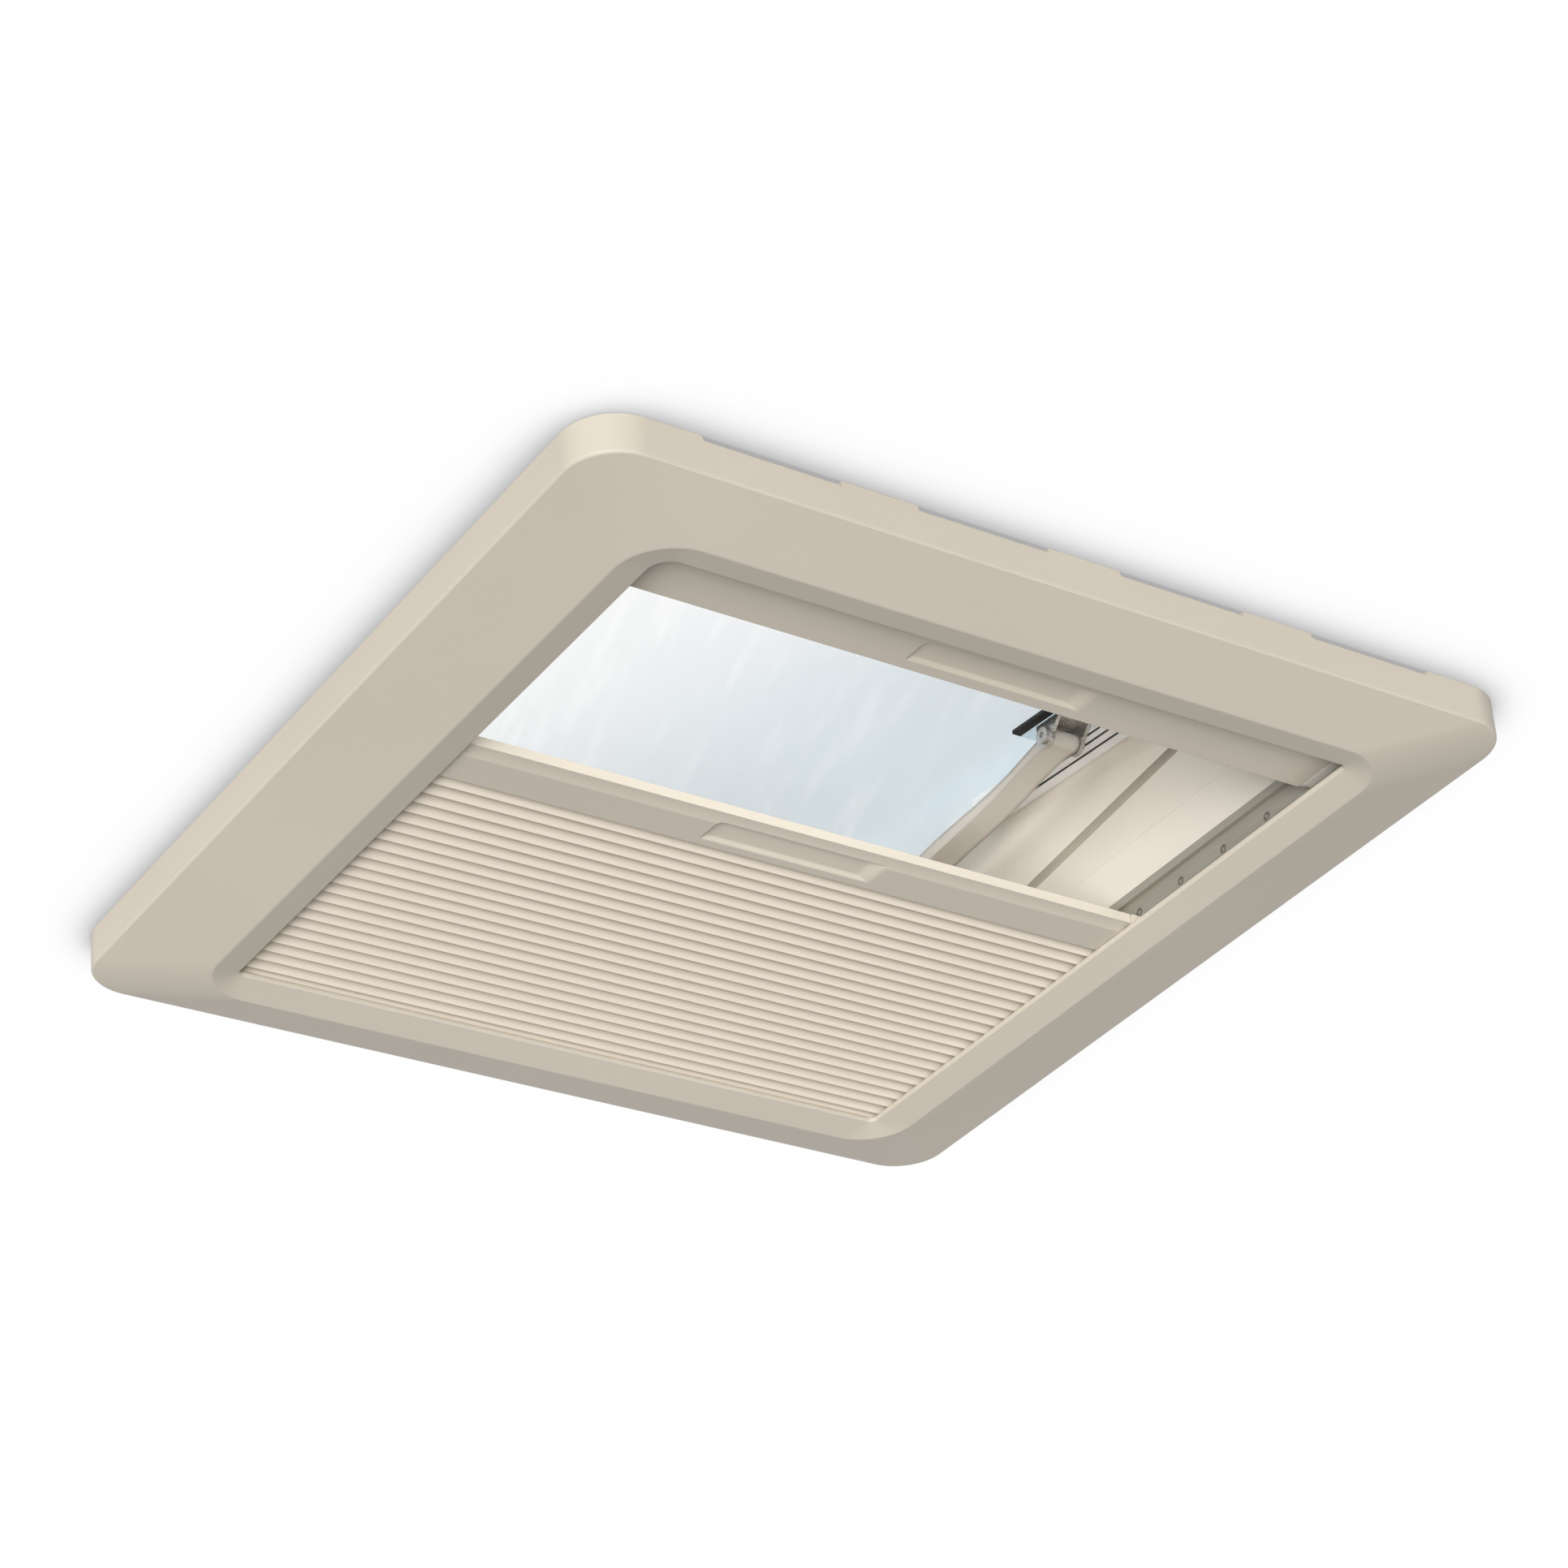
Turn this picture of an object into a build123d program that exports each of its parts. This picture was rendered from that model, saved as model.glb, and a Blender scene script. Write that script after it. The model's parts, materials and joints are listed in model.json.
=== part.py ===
"""Hinged roof light for a caravan or camper, seen from inside with its dome shut.

The origin is the middle of the roof cut-out on the ceiling plane. +X runs along the two
pull bars, +Y is the way the blind is pushed open and +Z points out through the roof.
The blind stands half way, the insect screen is parked and the dome is closed.
"""

from build123d import *
from math import atan, atan2, cos, degrees, hypot, sin
import os

# Clearances, between pieces that move apart and in bores
fit = 0.3
fine_fit = 0.05

# Roof and overall sizes
roof_thickness = 30
frame_half = 240
frame_corner = 25
well_half = 187
well_corner = 6

# Interior frame: its mouth and lip stand off the well, its levels hang from the blind bay
mouth_inset = 7.8
mouth_overrun = 2.6
mouth_corner = 5
lip_side = 15.8
lip_end = 15.9
lip_corner = 27
lip_rise = 4
bay_depth = 22.2
bay_floor = 2
bevel_rise = 9.9
side_draft = 0.5
crease_corner = 24
crease_radius = 2.5
shell = 2.5
hollow_bevel = 4
vent_count = 4
vent_pitch = 103.7
vent_length = 66
vent_depth = 2.3
clip_post = 1.6
clip_post_sink = 2.2

# Blind bay between the frame and the lining
bay_overrun = 27.4
bay_top = -3.2
bay_corner = 3
plate_inset = 2.5
plate = 2
upright = 2
guide_ledge = 10.5
guide_rib = 3
rib_rise = 6.9
rib_thickness = 0.8
end_rail_depth = 6
end_rail_wall = 2
end_rail_flange = 1
screw_pitch = 32.5
screw_row_y = 7
screws_each_side = 9
guide_screw_depth = -10.5
guide_screw_radius = 1.2
guide_screw_head = 2.4

# Pull bars
blind_front = -31.3
blind_width = 29.3
blind_height = 6.2
facet_width = 10
facet_rise = 1.3
front_slant = 1.9
screen_parking = 34.5
screen_width = 30
screen_height = 6.6
screen_inset = 5.7
grip_length = 92.3
grip_width = 15.3
grip_depth = 4.9
grip_corner = 2
grip_ramp = 9
grip_scoop = 3.5
grip_wall = 1
blind_grip_x = -0.7
blind_grip_from_front = 8.7
screen_grip_x = 7
screen_grip_from_front = 6.4
bar_edge = 0.6
shoe_setback = 1

# Lining, outer frame and roof seal
lining_wall = 2.4
lining_height = 25
lining_flange = 1.4
wall_step = 0.6
spigot_wall = 3
spigot_bottom = 4
upstand_width = 25
upstand_taper = 5
upstand_corner = 30
upstand_wall = 2.5
flange_width = 20
flange_corner = 45
flange_thickness = 3
roof_seal_thickness = 3
seal_margin = 2
rim_height = 85.3
rim_slope = 0.0888
rim_seal_inset = 8
rim_seal_width = 8
rim_seal_height = 5
rim_seal_corner = 14
rim_seal_round = 1.5

# Dome, tilted with the rim
dome_overhang = 2
dome_corner = 26
dome_sheet = 3
dome_flat = 24
bulge_corner = 40
bulge_height = 22
bulge_taper = 25
bulge_round = 10
skirt_drop = 8
skirt_gap = 18
pane_inset = 6
rail_width = 19.5
rail_length = 130
rail_drop = 1
rail_grooves = (1.6, 6.8, 12.8)
groove_width = 1.7
groove_depth = 1.6

# Dome hinge, outside the upstand
hinge_out = 10
hinge_lift = 8.35
hinge_x = 115
knuckle_radius = 5
hinge_pin_radius = 2.5
knuckle_width = 10
leaf_knuckle = 19.4
leaf_length = 24
leaf_thickness = 2
leaf_screw_spread = 6
leaf_screw_along = 12
pin_head = 1
bracket_base = 3
bracket_gap = 2.5

# Bow and its slots
slot_slope = 0.1128
slot_width = 6
slot_depth = 4
slot_run_in = -88
liner = 1
pivot_y = -22.8
pivot_drop = 4.475
pivot_pin_radius = 2.5
pivot_boss = 4.6
pivot_head_radius = 4.25
pivot_head = 2
pivot_recess_radius = 1.75
pivot_recess = 1.2
arm_width = 15.5
arm_top = ((0, 4.2), (0.09, 5.5), (0.21, 7.6), (0.48, 18.4), (0.65, 22.8), (0.86, 20), (1, 6))
arm_under = ((1, -5.7), (0.78, 8), (0.61, 14.5), (0.48, 11), (0.21, 2.4), (0.09, 0), (0, -4.2))
ear = 1.9
ear_radius = 6
ear_root = 13.2
pad_thickness = 2
pad_overrun = 17.5
pad_length = 57
pad_width = 26
pad_strip = 5
pad_margin = 8
clevis_plate = 1.8
clevis_length = 42
clevis_screw_gap = 12
roller_radius = 2.7
roller_width = 2.4
axle_radius = 2
handle_width = 14
handle_height = 12
handle_round = 4
pocket_roof = 1.5
button_length = 18
button_width = 8
button_height = 6.5
button_proud = 2.5
button_corner = 2
button_edge = 1
spring_turns = 4
spring_wire = 0.7
spring_radius = 2.6
catch_half = 16
catch_thickness = 3
catch_margin = 4
catch_screw_spread = 12
catch_screw_rise = 11

# Fixings
clamp_offset = 100
clamp_width = 24
clamp_plate = 1.5
clamp_height = 20
clamp_gap = 8
clamp_screw_height = 13
clamp_screw_radius = 2
clip_inset = 6
clip_leg = 0.8
clip_height = 7
fixing_radius = 1.6
fixing_head = 2.8
fixing_head_height = 1.6

sides = {"left": -1, "right": 1}
pieces = {}

# Places that several pieces share
mouth_half_x = well_half - mouth_inset
mouth_half_y = well_half + mouth_overrun
lip_half_x = mouth_half_x + lip_side
lip_half_y = mouth_half_y + lip_end
mouth_depth = bay_depth + bay_floor
lip_depth = mouth_depth + lip_rise
side_depth = lip_depth - bevel_rise
clip_post_root = side_depth + clip_post_sink
bay_half_y = mouth_half_y + bay_overrun
rib_top = rib_rise - bay_depth
blind_bottom = -bay_depth + fit
screen_bottom = rib_top + fit
screen_front = screen_parking - mouth_half_y
screen_half = well_half - screen_inset
upstand_half = well_half + upstand_width
flange_half = upstand_half + flange_width
rim_seal_inner = well_half + rim_seal_inset
dome_half = upstand_half + dome_overhang
bulge_half = dome_half - dome_flat
skirt_cut = dome_half - skirt_gap
pane_half = dome_half - pane_inset
rail_inner = well_half - rail_width
arm_inner = rail_inner - 2 * fit - ear - arm_width
clamp_reach = frame_half - clamp_gap
clip_line = clamp_reach - clip_inset
plate_inner = well_half + plate_inset
plate_outer = plate_inner + plate
wall_inner = well_half + wall_step
lining_outer = well_half + lining_wall
spigot_inner = lining_outer + wall_step
spigot_outer = spigot_inner + spigot_wall
lining_flange_outer = plate_outer + upright
slot_floor = wall_inner + slot_depth
flange_bottom = roof_thickness + roof_seal_thickness
flange_top = flange_bottom + flange_thickness
rim_tilt = atan(rim_slope)
rim = Plane(origin=(0, 0, rim_height), x_dir=(1, 0, 0), z_dir=(0, -sin(rim_tilt), cos(rim_tilt)))
pane_bottom = rim_seal_height + fit
dome_bottom = pane_bottom + dome_sheet
dome_top = dome_bottom + dome_sheet
guide_half = bay_half_y - end_rail_depth - fine_fit
blind_back = blind_front + blind_width
screen_back = screen_front - screen_width
blind_half = plate_outer - guide_ledge - fit
pleat_half = plate_inner - guide_rib - fit

# The bow is as long as the distance from hinge to pivot, so its pins run straight at the hinge
slot_angle = atan(slot_slope)
hinge_y = -upstand_half - hinge_out
hinge_z = rim_height + rim_slope * hinge_y + hinge_lift
pivot_z = rim_height + rim_slope * pivot_y - pivot_drop
slot_level = hinge_z + slot_slope * hinge_y
crank = hypot(pivot_y - hinge_y, pivot_z - hinge_z)
fold = atan2(pivot_z - hinge_z, pivot_y - hinge_y) + slot_angle
pin_y = hinge_y + 2 * crank * cos(fold) * cos(slot_angle)
pin_z = hinge_z - 2 * crank * cos(fold) * sin(slot_angle)
bracket_foot = -upstand_half - bracket_gap
bracket_screw_y = (hinge_y - knuckle_radius + bracket_foot) / 2


def beside(x):
    """A plane seen from the right, its x along the slope of the rim and its y square to it."""
    return Plane(origin=(x, 0, rim_height), x_dir=(0, cos(rim_tilt), sin(rim_tilt)), z_dir=(1, 0, 0))


def on_rim(y, z):
    """A point of the side view, given in the tilted coordinates of the dome."""
    along = y * cos(rim_tilt) + (z - rim_height) * sin(rim_tilt)
    above = (z - rim_height) * cos(rim_tilt) - y * sin(rim_tilt)
    return along, above


def ring(outer_x, outer_y, outer_corner, inner_x, inner_y, inner_corner):
    """A rectangular ring, from its half sizes, in the sketch that is being drawn."""
    RectangleRounded(2 * outer_x, 2 * outer_y, outer_corner)
    RectangleRounded(2 * inner_x, 2 * inner_y, inner_corner, mode=Mode.SUBTRACT)


def stack(levels, mode=Mode.ADD):
    """Tapered blocks through rounded rectangles: height, half width, half length, corner."""
    sections = []
    for height, half_x, half_y, corner in levels:
        with BuildSketch(Plane.XY.offset(height)) as section:
            RectangleRounded(2 * half_x, 2 * half_y, corner)
        sections.append(section.sketch)
    for pair in zip(sections, sections[1:]):
        loft(pair, ruled=True, mode=mode)


def slab(plane, outline, thickness, mode=Mode.ADD):
    """A closed outline of points, extruded from its plane."""
    with BuildSketch(plane) as section:
        Polygon(*outline, align=None)
    extrude(section.sketch, amount=thickness, mode=mode)


# Interior frame: one moulded shell with an upright rib round the blind bay
face_slope = (lip_depth - side_depth) / (frame_half - side_draft - lip_half_x)
face_slope_y = (lip_depth - side_depth) / (frame_half - side_draft - lip_half_y)
hollow_half_x = frame_half - side_draft - (bay_depth + shell - side_depth) / face_slope
hollow_half_y = frame_half - side_draft - (bay_depth + shell - side_depth) / face_slope_y
inside = frame_half - shell
with BuildPart() as interior_frame:
    stack(
        [
            (0, frame_half, frame_half, frame_corner),
            (-side_depth, frame_half - side_draft, frame_half - side_draft, crease_corner),
            (-lip_depth, lip_half_x, lip_half_y, lip_corner),
        ]
    )
    fillet(
        interior_frame.edges().filter_by_position(Axis.Z, -side_depth - fit, -side_depth + fit),
        crease_radius,
    )
    stack(
        [
            (0, inside, inside, frame_corner - shell),
            (-side_depth + crease_radius, inside - side_draft, inside - side_draft, crease_corner),
            (-side_depth + 1, inside - hollow_bevel, inside - hollow_bevel, crease_corner - shell),
            (-bay_depth, hollow_half_x, hollow_half_y, lip_corner),
        ],
        mode=Mode.SUBTRACT,
    )
    stack(
        [
            (-lip_depth, lip_half_x, lip_half_y, lip_corner),
            (-mouth_depth, mouth_half_x, mouth_half_y, mouth_corner),
            (-bay_depth, mouth_half_x, mouth_half_y, mouth_corner),
        ],
        mode=Mode.SUBTRACT,
    )
    with BuildSketch(Plane.XY.offset(-bay_depth)):
        RectangleRounded(2 * (plate_outer + upright), 2 * (bay_half_y + upright), bay_corner)
        Rectangle(2 * plate_outer, 2 * bay_half_y, mode=Mode.SUBTRACT)
    extrude(amount=bay_depth + bay_top)
    # Shallow vents along the top edge at the front and the back
    with BuildSketch(Plane.XY.offset(-vent_depth)):
        with Locations((0, frame_half), (0, -frame_half)):
            with GridLocations(vent_pitch, 1, vent_count, 1):
                Rectangle(vent_length, 4 * shell)
    extrude(amount=vent_depth, mode=Mode.SUBTRACT)
    # Posts that the spring clips grip, two on each side
    with BuildSketch(Plane.XY.offset(-clip_post_root)):
        with PolarLocations(0, 4):
            with Locations((clip_line, clamp_offset), (clip_line, -clamp_offset)):
                Rectangle(clip_post, clamp_width)
    extrude(amount=clip_post_root - clamp_plate - clip_leg - fit)
    # Holes for the guide screws
    for sign in sides.values():
        with BuildSketch(Plane.YZ.offset(sign * plate_outer)):
            with Locations((screw_row_y, guide_screw_depth)):
                with GridLocations(screw_pitch, 1, screws_each_side, 1):
                    Circle(guide_screw_radius)
        extrude(amount=sign * upright, mode=Mode.SUBTRACT)
pieces["interior_frame"] = interior_frame

# Guides: a ledge for the blind's shoes and a rib between the two tracks
ledge_top = -bay_depth + end_rail_flange
for side, sign in sides.items():
    with BuildPart() as guide:
        with BuildSketch(Plane.XZ):
            with Locations((sign * (plate_inner + plate / 2), (bay_top - bay_depth) / 2)):
                Rectangle(plate, bay_depth + bay_top)
            with Locations((sign * (plate_outer - guide_ledge / 2), -bay_depth + end_rail_flange / 2)):
                Rectangle(guide_ledge, end_rail_flange)
            with Locations((sign * (plate_inner - guide_rib / 2), rib_top - rib_thickness / 2)):
                Rectangle(guide_rib, rib_thickness)
        extrude(amount=guide_half, both=True)
        with BuildSketch(Plane.YZ.offset(sign * plate_outer)):
            with Locations((screw_row_y, guide_screw_depth)):
                with GridLocations(screw_pitch, 1, screws_each_side, 1):
                    Circle(guide_screw_radius)
        extrude(amount=-sign * plate, mode=Mode.SUBTRACT)
        with BuildSketch(Plane.YZ.offset(sign * plate_inner)):
            with Locations((screw_row_y, guide_screw_depth)):
                with GridLocations(screw_pitch, 1, screws_each_side, 1):
                    Circle(guide_screw_head)
        extrude(
            amount=sign * (guide_screw_head - guide_screw_radius), taper=45, mode=Mode.SUBTRACT
        )
    pieces[f"guide_{side}"] = guide

with BuildPart() as guide_screws:
    for sign in sides.values():
        with BuildSketch(Plane.YZ.offset(sign * (plate_inner + fine_fit))):
            with Locations((screw_row_y, guide_screw_depth)):
                with GridLocations(screw_pitch, 1, screws_each_side, 1):
                    Circle(guide_screw_head - 2 * fine_fit)
        extrude(amount=sign * (guide_screw_head - guide_screw_radius), taper=45)
        with BuildSketch(Plane.YZ.offset(sign * (plate_inner + fine_fit))):
            with Locations((screw_row_y, guide_screw_depth)):
                with GridLocations(screw_pitch, 1, screws_each_side, 1):
                    Circle(guide_screw_radius - fine_fit)
        extrude(amount=sign * (plate + upright - 2 * fine_fit))
        # Slot for a screwdriver across each head
        with BuildSketch(Plane.YZ.offset(sign * plate_inner)):
            with Locations((screw_row_y, guide_screw_depth)):
                with GridLocations(screw_pitch, 1, screws_each_side, 1):
                    Rectangle(2 * guide_screw_head, guide_screw_radius / 2)
        extrude(amount=sign * guide_screw_radius / 2, mode=Mode.SUBTRACT)
pieces["guide_screws"] = guide_screws

# End rails that clamp the fixed ends of the blind and of the screen
for name, sign in {"end_rail_front": -1, "end_rail_rear": 1}.items():
    with BuildPart() as end_rail:
        with BuildSketch(Plane.YZ):
            with Locations((sign * (bay_half_y - end_rail_depth / 2), (bay_top - bay_depth) / 2)):
                Rectangle(end_rail_depth, bay_depth + bay_top)
            with Locations((sign * (bay_half_y - end_rail_depth), (bay_top - bay_depth) / 2)):
                Rectangle(
                    2 * (end_rail_depth - end_rail_wall),
                    bay_depth + bay_top - 2 * end_rail_flange,
                    mode=Mode.SUBTRACT,
                )
        extrude(amount=plate_outer, both=True)
    pieces[name] = end_rail


def pull_bar(front, back, bottom, height, half, facet, grip_x, grip_y):
    """A bar with a scooped finger grip in its underside; the scoop runs out to +X and +Y."""
    turn = 1 if back > front else -1
    slab(
        Plane.YZ.offset(-half),
        [
            (front, bottom + height),
            (front + turn * front_slant if facet else front, bottom + facet_rise if facet else bottom),
            (front + turn * facet_width if facet else front + turn * bar_edge, bottom),
            (back, bottom),
            (back, bottom + height),
        ],
        2 * half,
    )
    with BuildSketch(Plane.XY.offset(bottom)) as mouth:
        with Locations((grip_x, grip_y)):
            RectangleRounded(grip_length, grip_width, grip_corner)
    with BuildSketch(Plane.XY.offset(bottom + grip_depth)) as floor:
        with Locations((grip_x - grip_ramp / 2, grip_y - grip_scoop / 2)):
            RectangleRounded(
                grip_length - grip_ramp - grip_wall, grip_width - grip_scoop - grip_wall,
                grip_corner - grip_wall / 2,
            )
    loft([mouth.sketch, floor.sketch], ruled=True, mode=Mode.SUBTRACT)


# Blind, half open: its bar, the shoes in the lower track and the pleats
with BuildPart() as blind_bar:
    pull_bar(
        blind_front, blind_back, blind_bottom, blind_height, blind_half, True,
        blind_grip_x, blind_front + blind_grip_from_front + grip_width / 2,
    )
pieces["blind_bar"] = blind_bar

blind_shoe_bottom = ledge_top + fit
blind_shoe_top = rib_top - rib_thickness - fit
with BuildPart() as blind_shoes:
    with BuildSketch(Plane.XY.offset(blind_shoe_bottom)):
        for sign in sides.values():
            with Locations(
                (sign * (blind_half + plate_inner - fit) / 2, (blind_front + blind_back) / 2)
            ):
                Rectangle(plate_inner - fit - blind_half, blind_width - 2 * shoe_setback)
    extrude(amount=blind_shoe_top - blind_shoe_bottom)
pieces["blind_shoes"] = blind_shoes

pleat_bottom = ledge_top + fine_fit
pleat_top = screen_bottom - fit
with BuildPart() as blind_pleats:
    slab(
        Plane.YZ.offset(-pleat_half),
        [
            (blind_back, pleat_bottom),
            (bay_half_y - end_rail_wall, pleat_bottom),
            (bay_half_y - end_rail_wall, pleat_top),
            (blind_back, pleat_top),
        ],
        2 * pleat_half,
    )
pieces["blind_pleats"] = blind_pleats

# Insect screen, parked: its bar, the shoes in the upper track and the folded pleats
with BuildPart() as screen_bar:
    pull_bar(
        screen_front, screen_back, screen_bottom, screen_height, screen_half, False,
        screen_grip_x, screen_front - screen_grip_from_front - grip_width / 2,
    )
pieces["screen_bar"] = screen_bar

with BuildPart() as screen_shoes:
    with BuildSketch(Plane.XY.offset(screen_bottom)):
        for sign in sides.values():
            with Locations(
                (sign * (screen_half + plate_inner - fit) / 2, (screen_front + screen_back) / 2)
            ):
                Rectangle(plate_inner - fit - screen_half, screen_width - 2 * shoe_setback)
    extrude(amount=bay_top - fit - screen_bottom)
pieces["screen_shoes"] = screen_shoes

with BuildPart() as screen_pleats:
    slab(
        Plane.YZ.offset(-pleat_half),
        [
            (end_rail_wall - bay_half_y, screen_bottom),
            (screen_back, screen_bottom),
            (screen_back, screen_bottom + screen_height),
            (end_rail_wall - bay_half_y, screen_bottom + screen_height),
        ],
        2 * pleat_half,
    )
pieces["screen_pleats"] = screen_pleats

# Lining collar: closes the bay from above and lines the roof cut-out
with BuildPart() as lining:
    with BuildSketch(Plane.XY.offset(bay_top)):
        ring(
            lining_flange_outer, bay_half_y + upright, bay_corner, well_half, well_half, well_corner
        )
    extrude(amount=lining_flange)
    with BuildSketch(Plane.XY.offset(bay_top)):
        ring(lining_outer, lining_outer, well_corner + lining_wall, well_half, well_half, well_corner)
    extrude(amount=lining_height - bay_top)
pieces["lining"] = lining

# Outer frame: roof flange, hollow upstand with a sloping rim, and a spigot through the roof
above_rim = rim_height + flange_half * rim_slope + slot_depth
with BuildPart() as upstand_hollow:
    with BuildSketch(Plane.XY.offset(flange_bottom)):
        RectangleRounded(
            2 * (upstand_half - upstand_wall), 2 * (upstand_half - upstand_wall),
            upstand_corner - upstand_wall,
        )
    extrude(amount=above_rim - flange_bottom, taper=upstand_taper)
    split(bisect_by=rim.offset(-upstand_wall), keep=Keep.BOTTOM)

slot_end_y = pin_y + fit
slot_middle = (slot_run_in + slot_end_y) / 2
slot_length = (slot_end_y - slot_run_in) / cos(slot_angle)
with BuildPart() as outer_frame:
    with BuildSketch(Plane.XY.offset(flange_bottom)):
        RectangleRounded(2 * upstand_half, 2 * upstand_half, upstand_corner)
    extrude(amount=above_rim - flange_bottom, taper=upstand_taper)
    add(upstand_hollow.part, mode=Mode.SUBTRACT)
    with BuildSketch(Plane.XY.offset(lining_height + fit)):
        ring(
            spigot_outer, spigot_outer, well_corner + spigot_wall, wall_inner, wall_inner, well_corner
        )
    extrude(amount=above_rim - lining_height)
    with BuildSketch(Plane.XY.offset(lining_height + fit)):
        RectangleRounded(2 * wall_inner, 2 * wall_inner, well_corner)
    extrude(amount=above_rim, mode=Mode.SUBTRACT)
    with BuildSketch(Plane.XY.offset(spigot_bottom)):
        ring(
            spigot_outer, spigot_outer, well_corner + spigot_wall,
            spigot_inner, spigot_inner, well_corner + lining_wall,
        )
    extrude(amount=lining_height + fit - spigot_bottom)
    with BuildSketch(Plane.XY.offset(flange_bottom)):
        ring(
            flange_half, flange_half, flange_corner,
            upstand_half - upstand_wall, upstand_half - upstand_wall, upstand_corner - upstand_wall,
        )
    extrude(amount=flange_thickness)
    split(bisect_by=rim, keep=Keep.BOTTOM)
    for sign in sides.values():
        with BuildSketch(Plane.YZ.offset(sign * wall_inner)):
            with Locations((slot_middle, slot_level - slot_slope * slot_middle)):
                SlotCenterToCenter(slot_length, slot_width, rotation=-degrees(slot_angle))
        extrude(amount=sign * slot_depth, mode=Mode.SUBTRACT)
    # Holes for the clamp screws
    with BuildSketch(Plane.YZ.offset(-spigot_outer)):
        with Locations((clamp_offset, clamp_screw_height), (-clamp_offset, clamp_screw_height)):
            Circle(clamp_screw_radius + fine_fit)
    extrude(amount=2 * spigot_outer, mode=Mode.SUBTRACT)
    with BuildSketch(Plane.XZ.offset(-spigot_outer)):
        with Locations((clamp_offset, clamp_screw_height), (-clamp_offset, clamp_screw_height)):
            Circle(clamp_screw_radius + fine_fit)
    extrude(amount=2 * spigot_outer, mode=Mode.SUBTRACT)
    # Holes for the screws of the catch, and under the hinge brackets
    with BuildSketch(Plane.XZ.offset(-wall_inner)):
        with Locations((0, pin_z + catch_screw_rise)):
            with GridLocations(2 * catch_screw_spread, 1, 2, 1):
                Circle(fixing_radius)
    extrude(amount=-(spigot_outer - wall_inner), mode=Mode.SUBTRACT)
    with BuildSketch(Plane.XY.offset(flange_bottom)):
        with Locations((-hinge_x, bracket_screw_y), (hinge_x, bracket_screw_y)):
            Circle(fixing_radius)
    extrude(amount=flange_thickness, mode=Mode.SUBTRACT)
pieces["outer_frame"] = outer_frame

for side, sign in sides.items():
    with BuildPart() as slot_liner:
        with BuildSketch(Plane.YZ.offset(sign * slot_floor)):
            with Locations((slot_middle, slot_level - slot_slope * slot_middle)):
                SlotCenterToCenter(
                    slot_length, slot_width - 2 * fine_fit, rotation=-degrees(slot_angle)
                )
        extrude(amount=-sign * liner)
    pieces[f"slot_liner_{side}"] = slot_liner

with BuildPart() as roof_seal:
    with BuildSketch(Plane.XY.offset(roof_thickness)):
        ring(
            flange_half - seal_margin, flange_half - seal_margin, flange_corner - seal_margin,
            upstand_half, upstand_half, upstand_corner,
        )
    extrude(amount=roof_seal_thickness)
pieces["roof_seal"] = roof_seal

with BuildPart() as rim_seal:
    with BuildSketch(rim):
        ring(
            rim_seal_inner + rim_seal_width, rim_seal_inner + rim_seal_width, rim_seal_corner,
            rim_seal_inner, rim_seal_inner, rim_seal_corner - rim_seal_width,
        )
    extrude(amount=rim_seal_height)
    fillet(rim_seal.edges().group_by(Axis(rim.origin, rim.z_dir))[-1], rim_seal_round)
pieces["rim_seal"] = rim_seal

# Roof clamps: eight brackets screwed to the spigot, with a spring clip under each foot
with BuildPart() as one_clamp:
    with BuildSketch(Plane.XZ.offset(-clamp_offset)):
        with Locations((spigot_outer + clamp_plate / 2, (clamp_height - clamp_plate) / 2)):
            Rectangle(clamp_plate, clamp_height + clamp_plate)
        with Locations(((spigot_outer + clamp_reach) / 2, -clamp_plate / 2)):
            Rectangle(clamp_reach - spigot_outer, clamp_plate)
    extrude(amount=clamp_width / 2, both=True)
    with BuildSketch(Plane.YZ.offset(spigot_outer)):
        with Locations((clamp_offset, clamp_screw_height)):
            Circle(clamp_screw_radius + fine_fit)
    extrude(amount=clamp_plate, mode=Mode.SUBTRACT)

with BuildPart() as one_clamp_screw:
    with BuildSketch(Plane.YZ.offset(spigot_inner + fine_fit)):
        with Locations((clamp_offset, clamp_screw_height)):
            Circle(clamp_screw_radius)
    extrude(amount=spigot_wall + clamp_plate)
    with BuildSketch(Plane.YZ.offset(spigot_outer + clamp_plate)):
        with Locations((clamp_offset, clamp_screw_height)):
            RegularPolygon(2 * clamp_screw_radius, 6)
    extrude(amount=1.3 * clamp_screw_radius)

clip_top = -clamp_plate
with BuildPart() as one_clip:
    with BuildSketch(Plane.XZ.offset(-clamp_offset)):
        with Locations((clip_line, clip_top - clip_height / 2)):
            Rectangle(clip_post + 2 * fine_fit + 2 * clip_leg, clip_height)
        with Locations((clip_line, clip_top - clip_leg - clip_height / 2)):
            Rectangle(clip_post + 2 * fine_fit, clip_height, mode=Mode.SUBTRACT)
    extrude(amount=clamp_width / 4, both=True)

for name, single in {
    "roof_clamps": one_clamp, "clamp_screws": one_clamp_screw, "frame_clips": one_clip
}.items():
    with BuildPart() as set_of_eight:
        with PolarLocations(0, 4):
            add(single.part)
            add(single.part.mirror(Plane.XZ))
    pieces[name] = set_of_eight

hinge_along, hinge_above = on_rim(hinge_y, hinge_z)
leaf_screw_y = hinge_along + leaf_screw_along

# Dome: blown outer shell with a skirt on three sides, and a flat inner pane
with BuildPart() as dome_hollow:
    with BuildSketch(rim.offset(dome_bottom)):
        RectangleRounded(
            2 * (bulge_half - dome_sheet), 2 * (bulge_half - dome_sheet), bulge_corner - dome_sheet
        )
    extrude(amount=bulge_height, taper=bulge_taper)
    fillet(dome_hollow.edges().group_by(Axis(rim.origin, rim.z_dir))[-1], bulge_round - dome_sheet)

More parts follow.
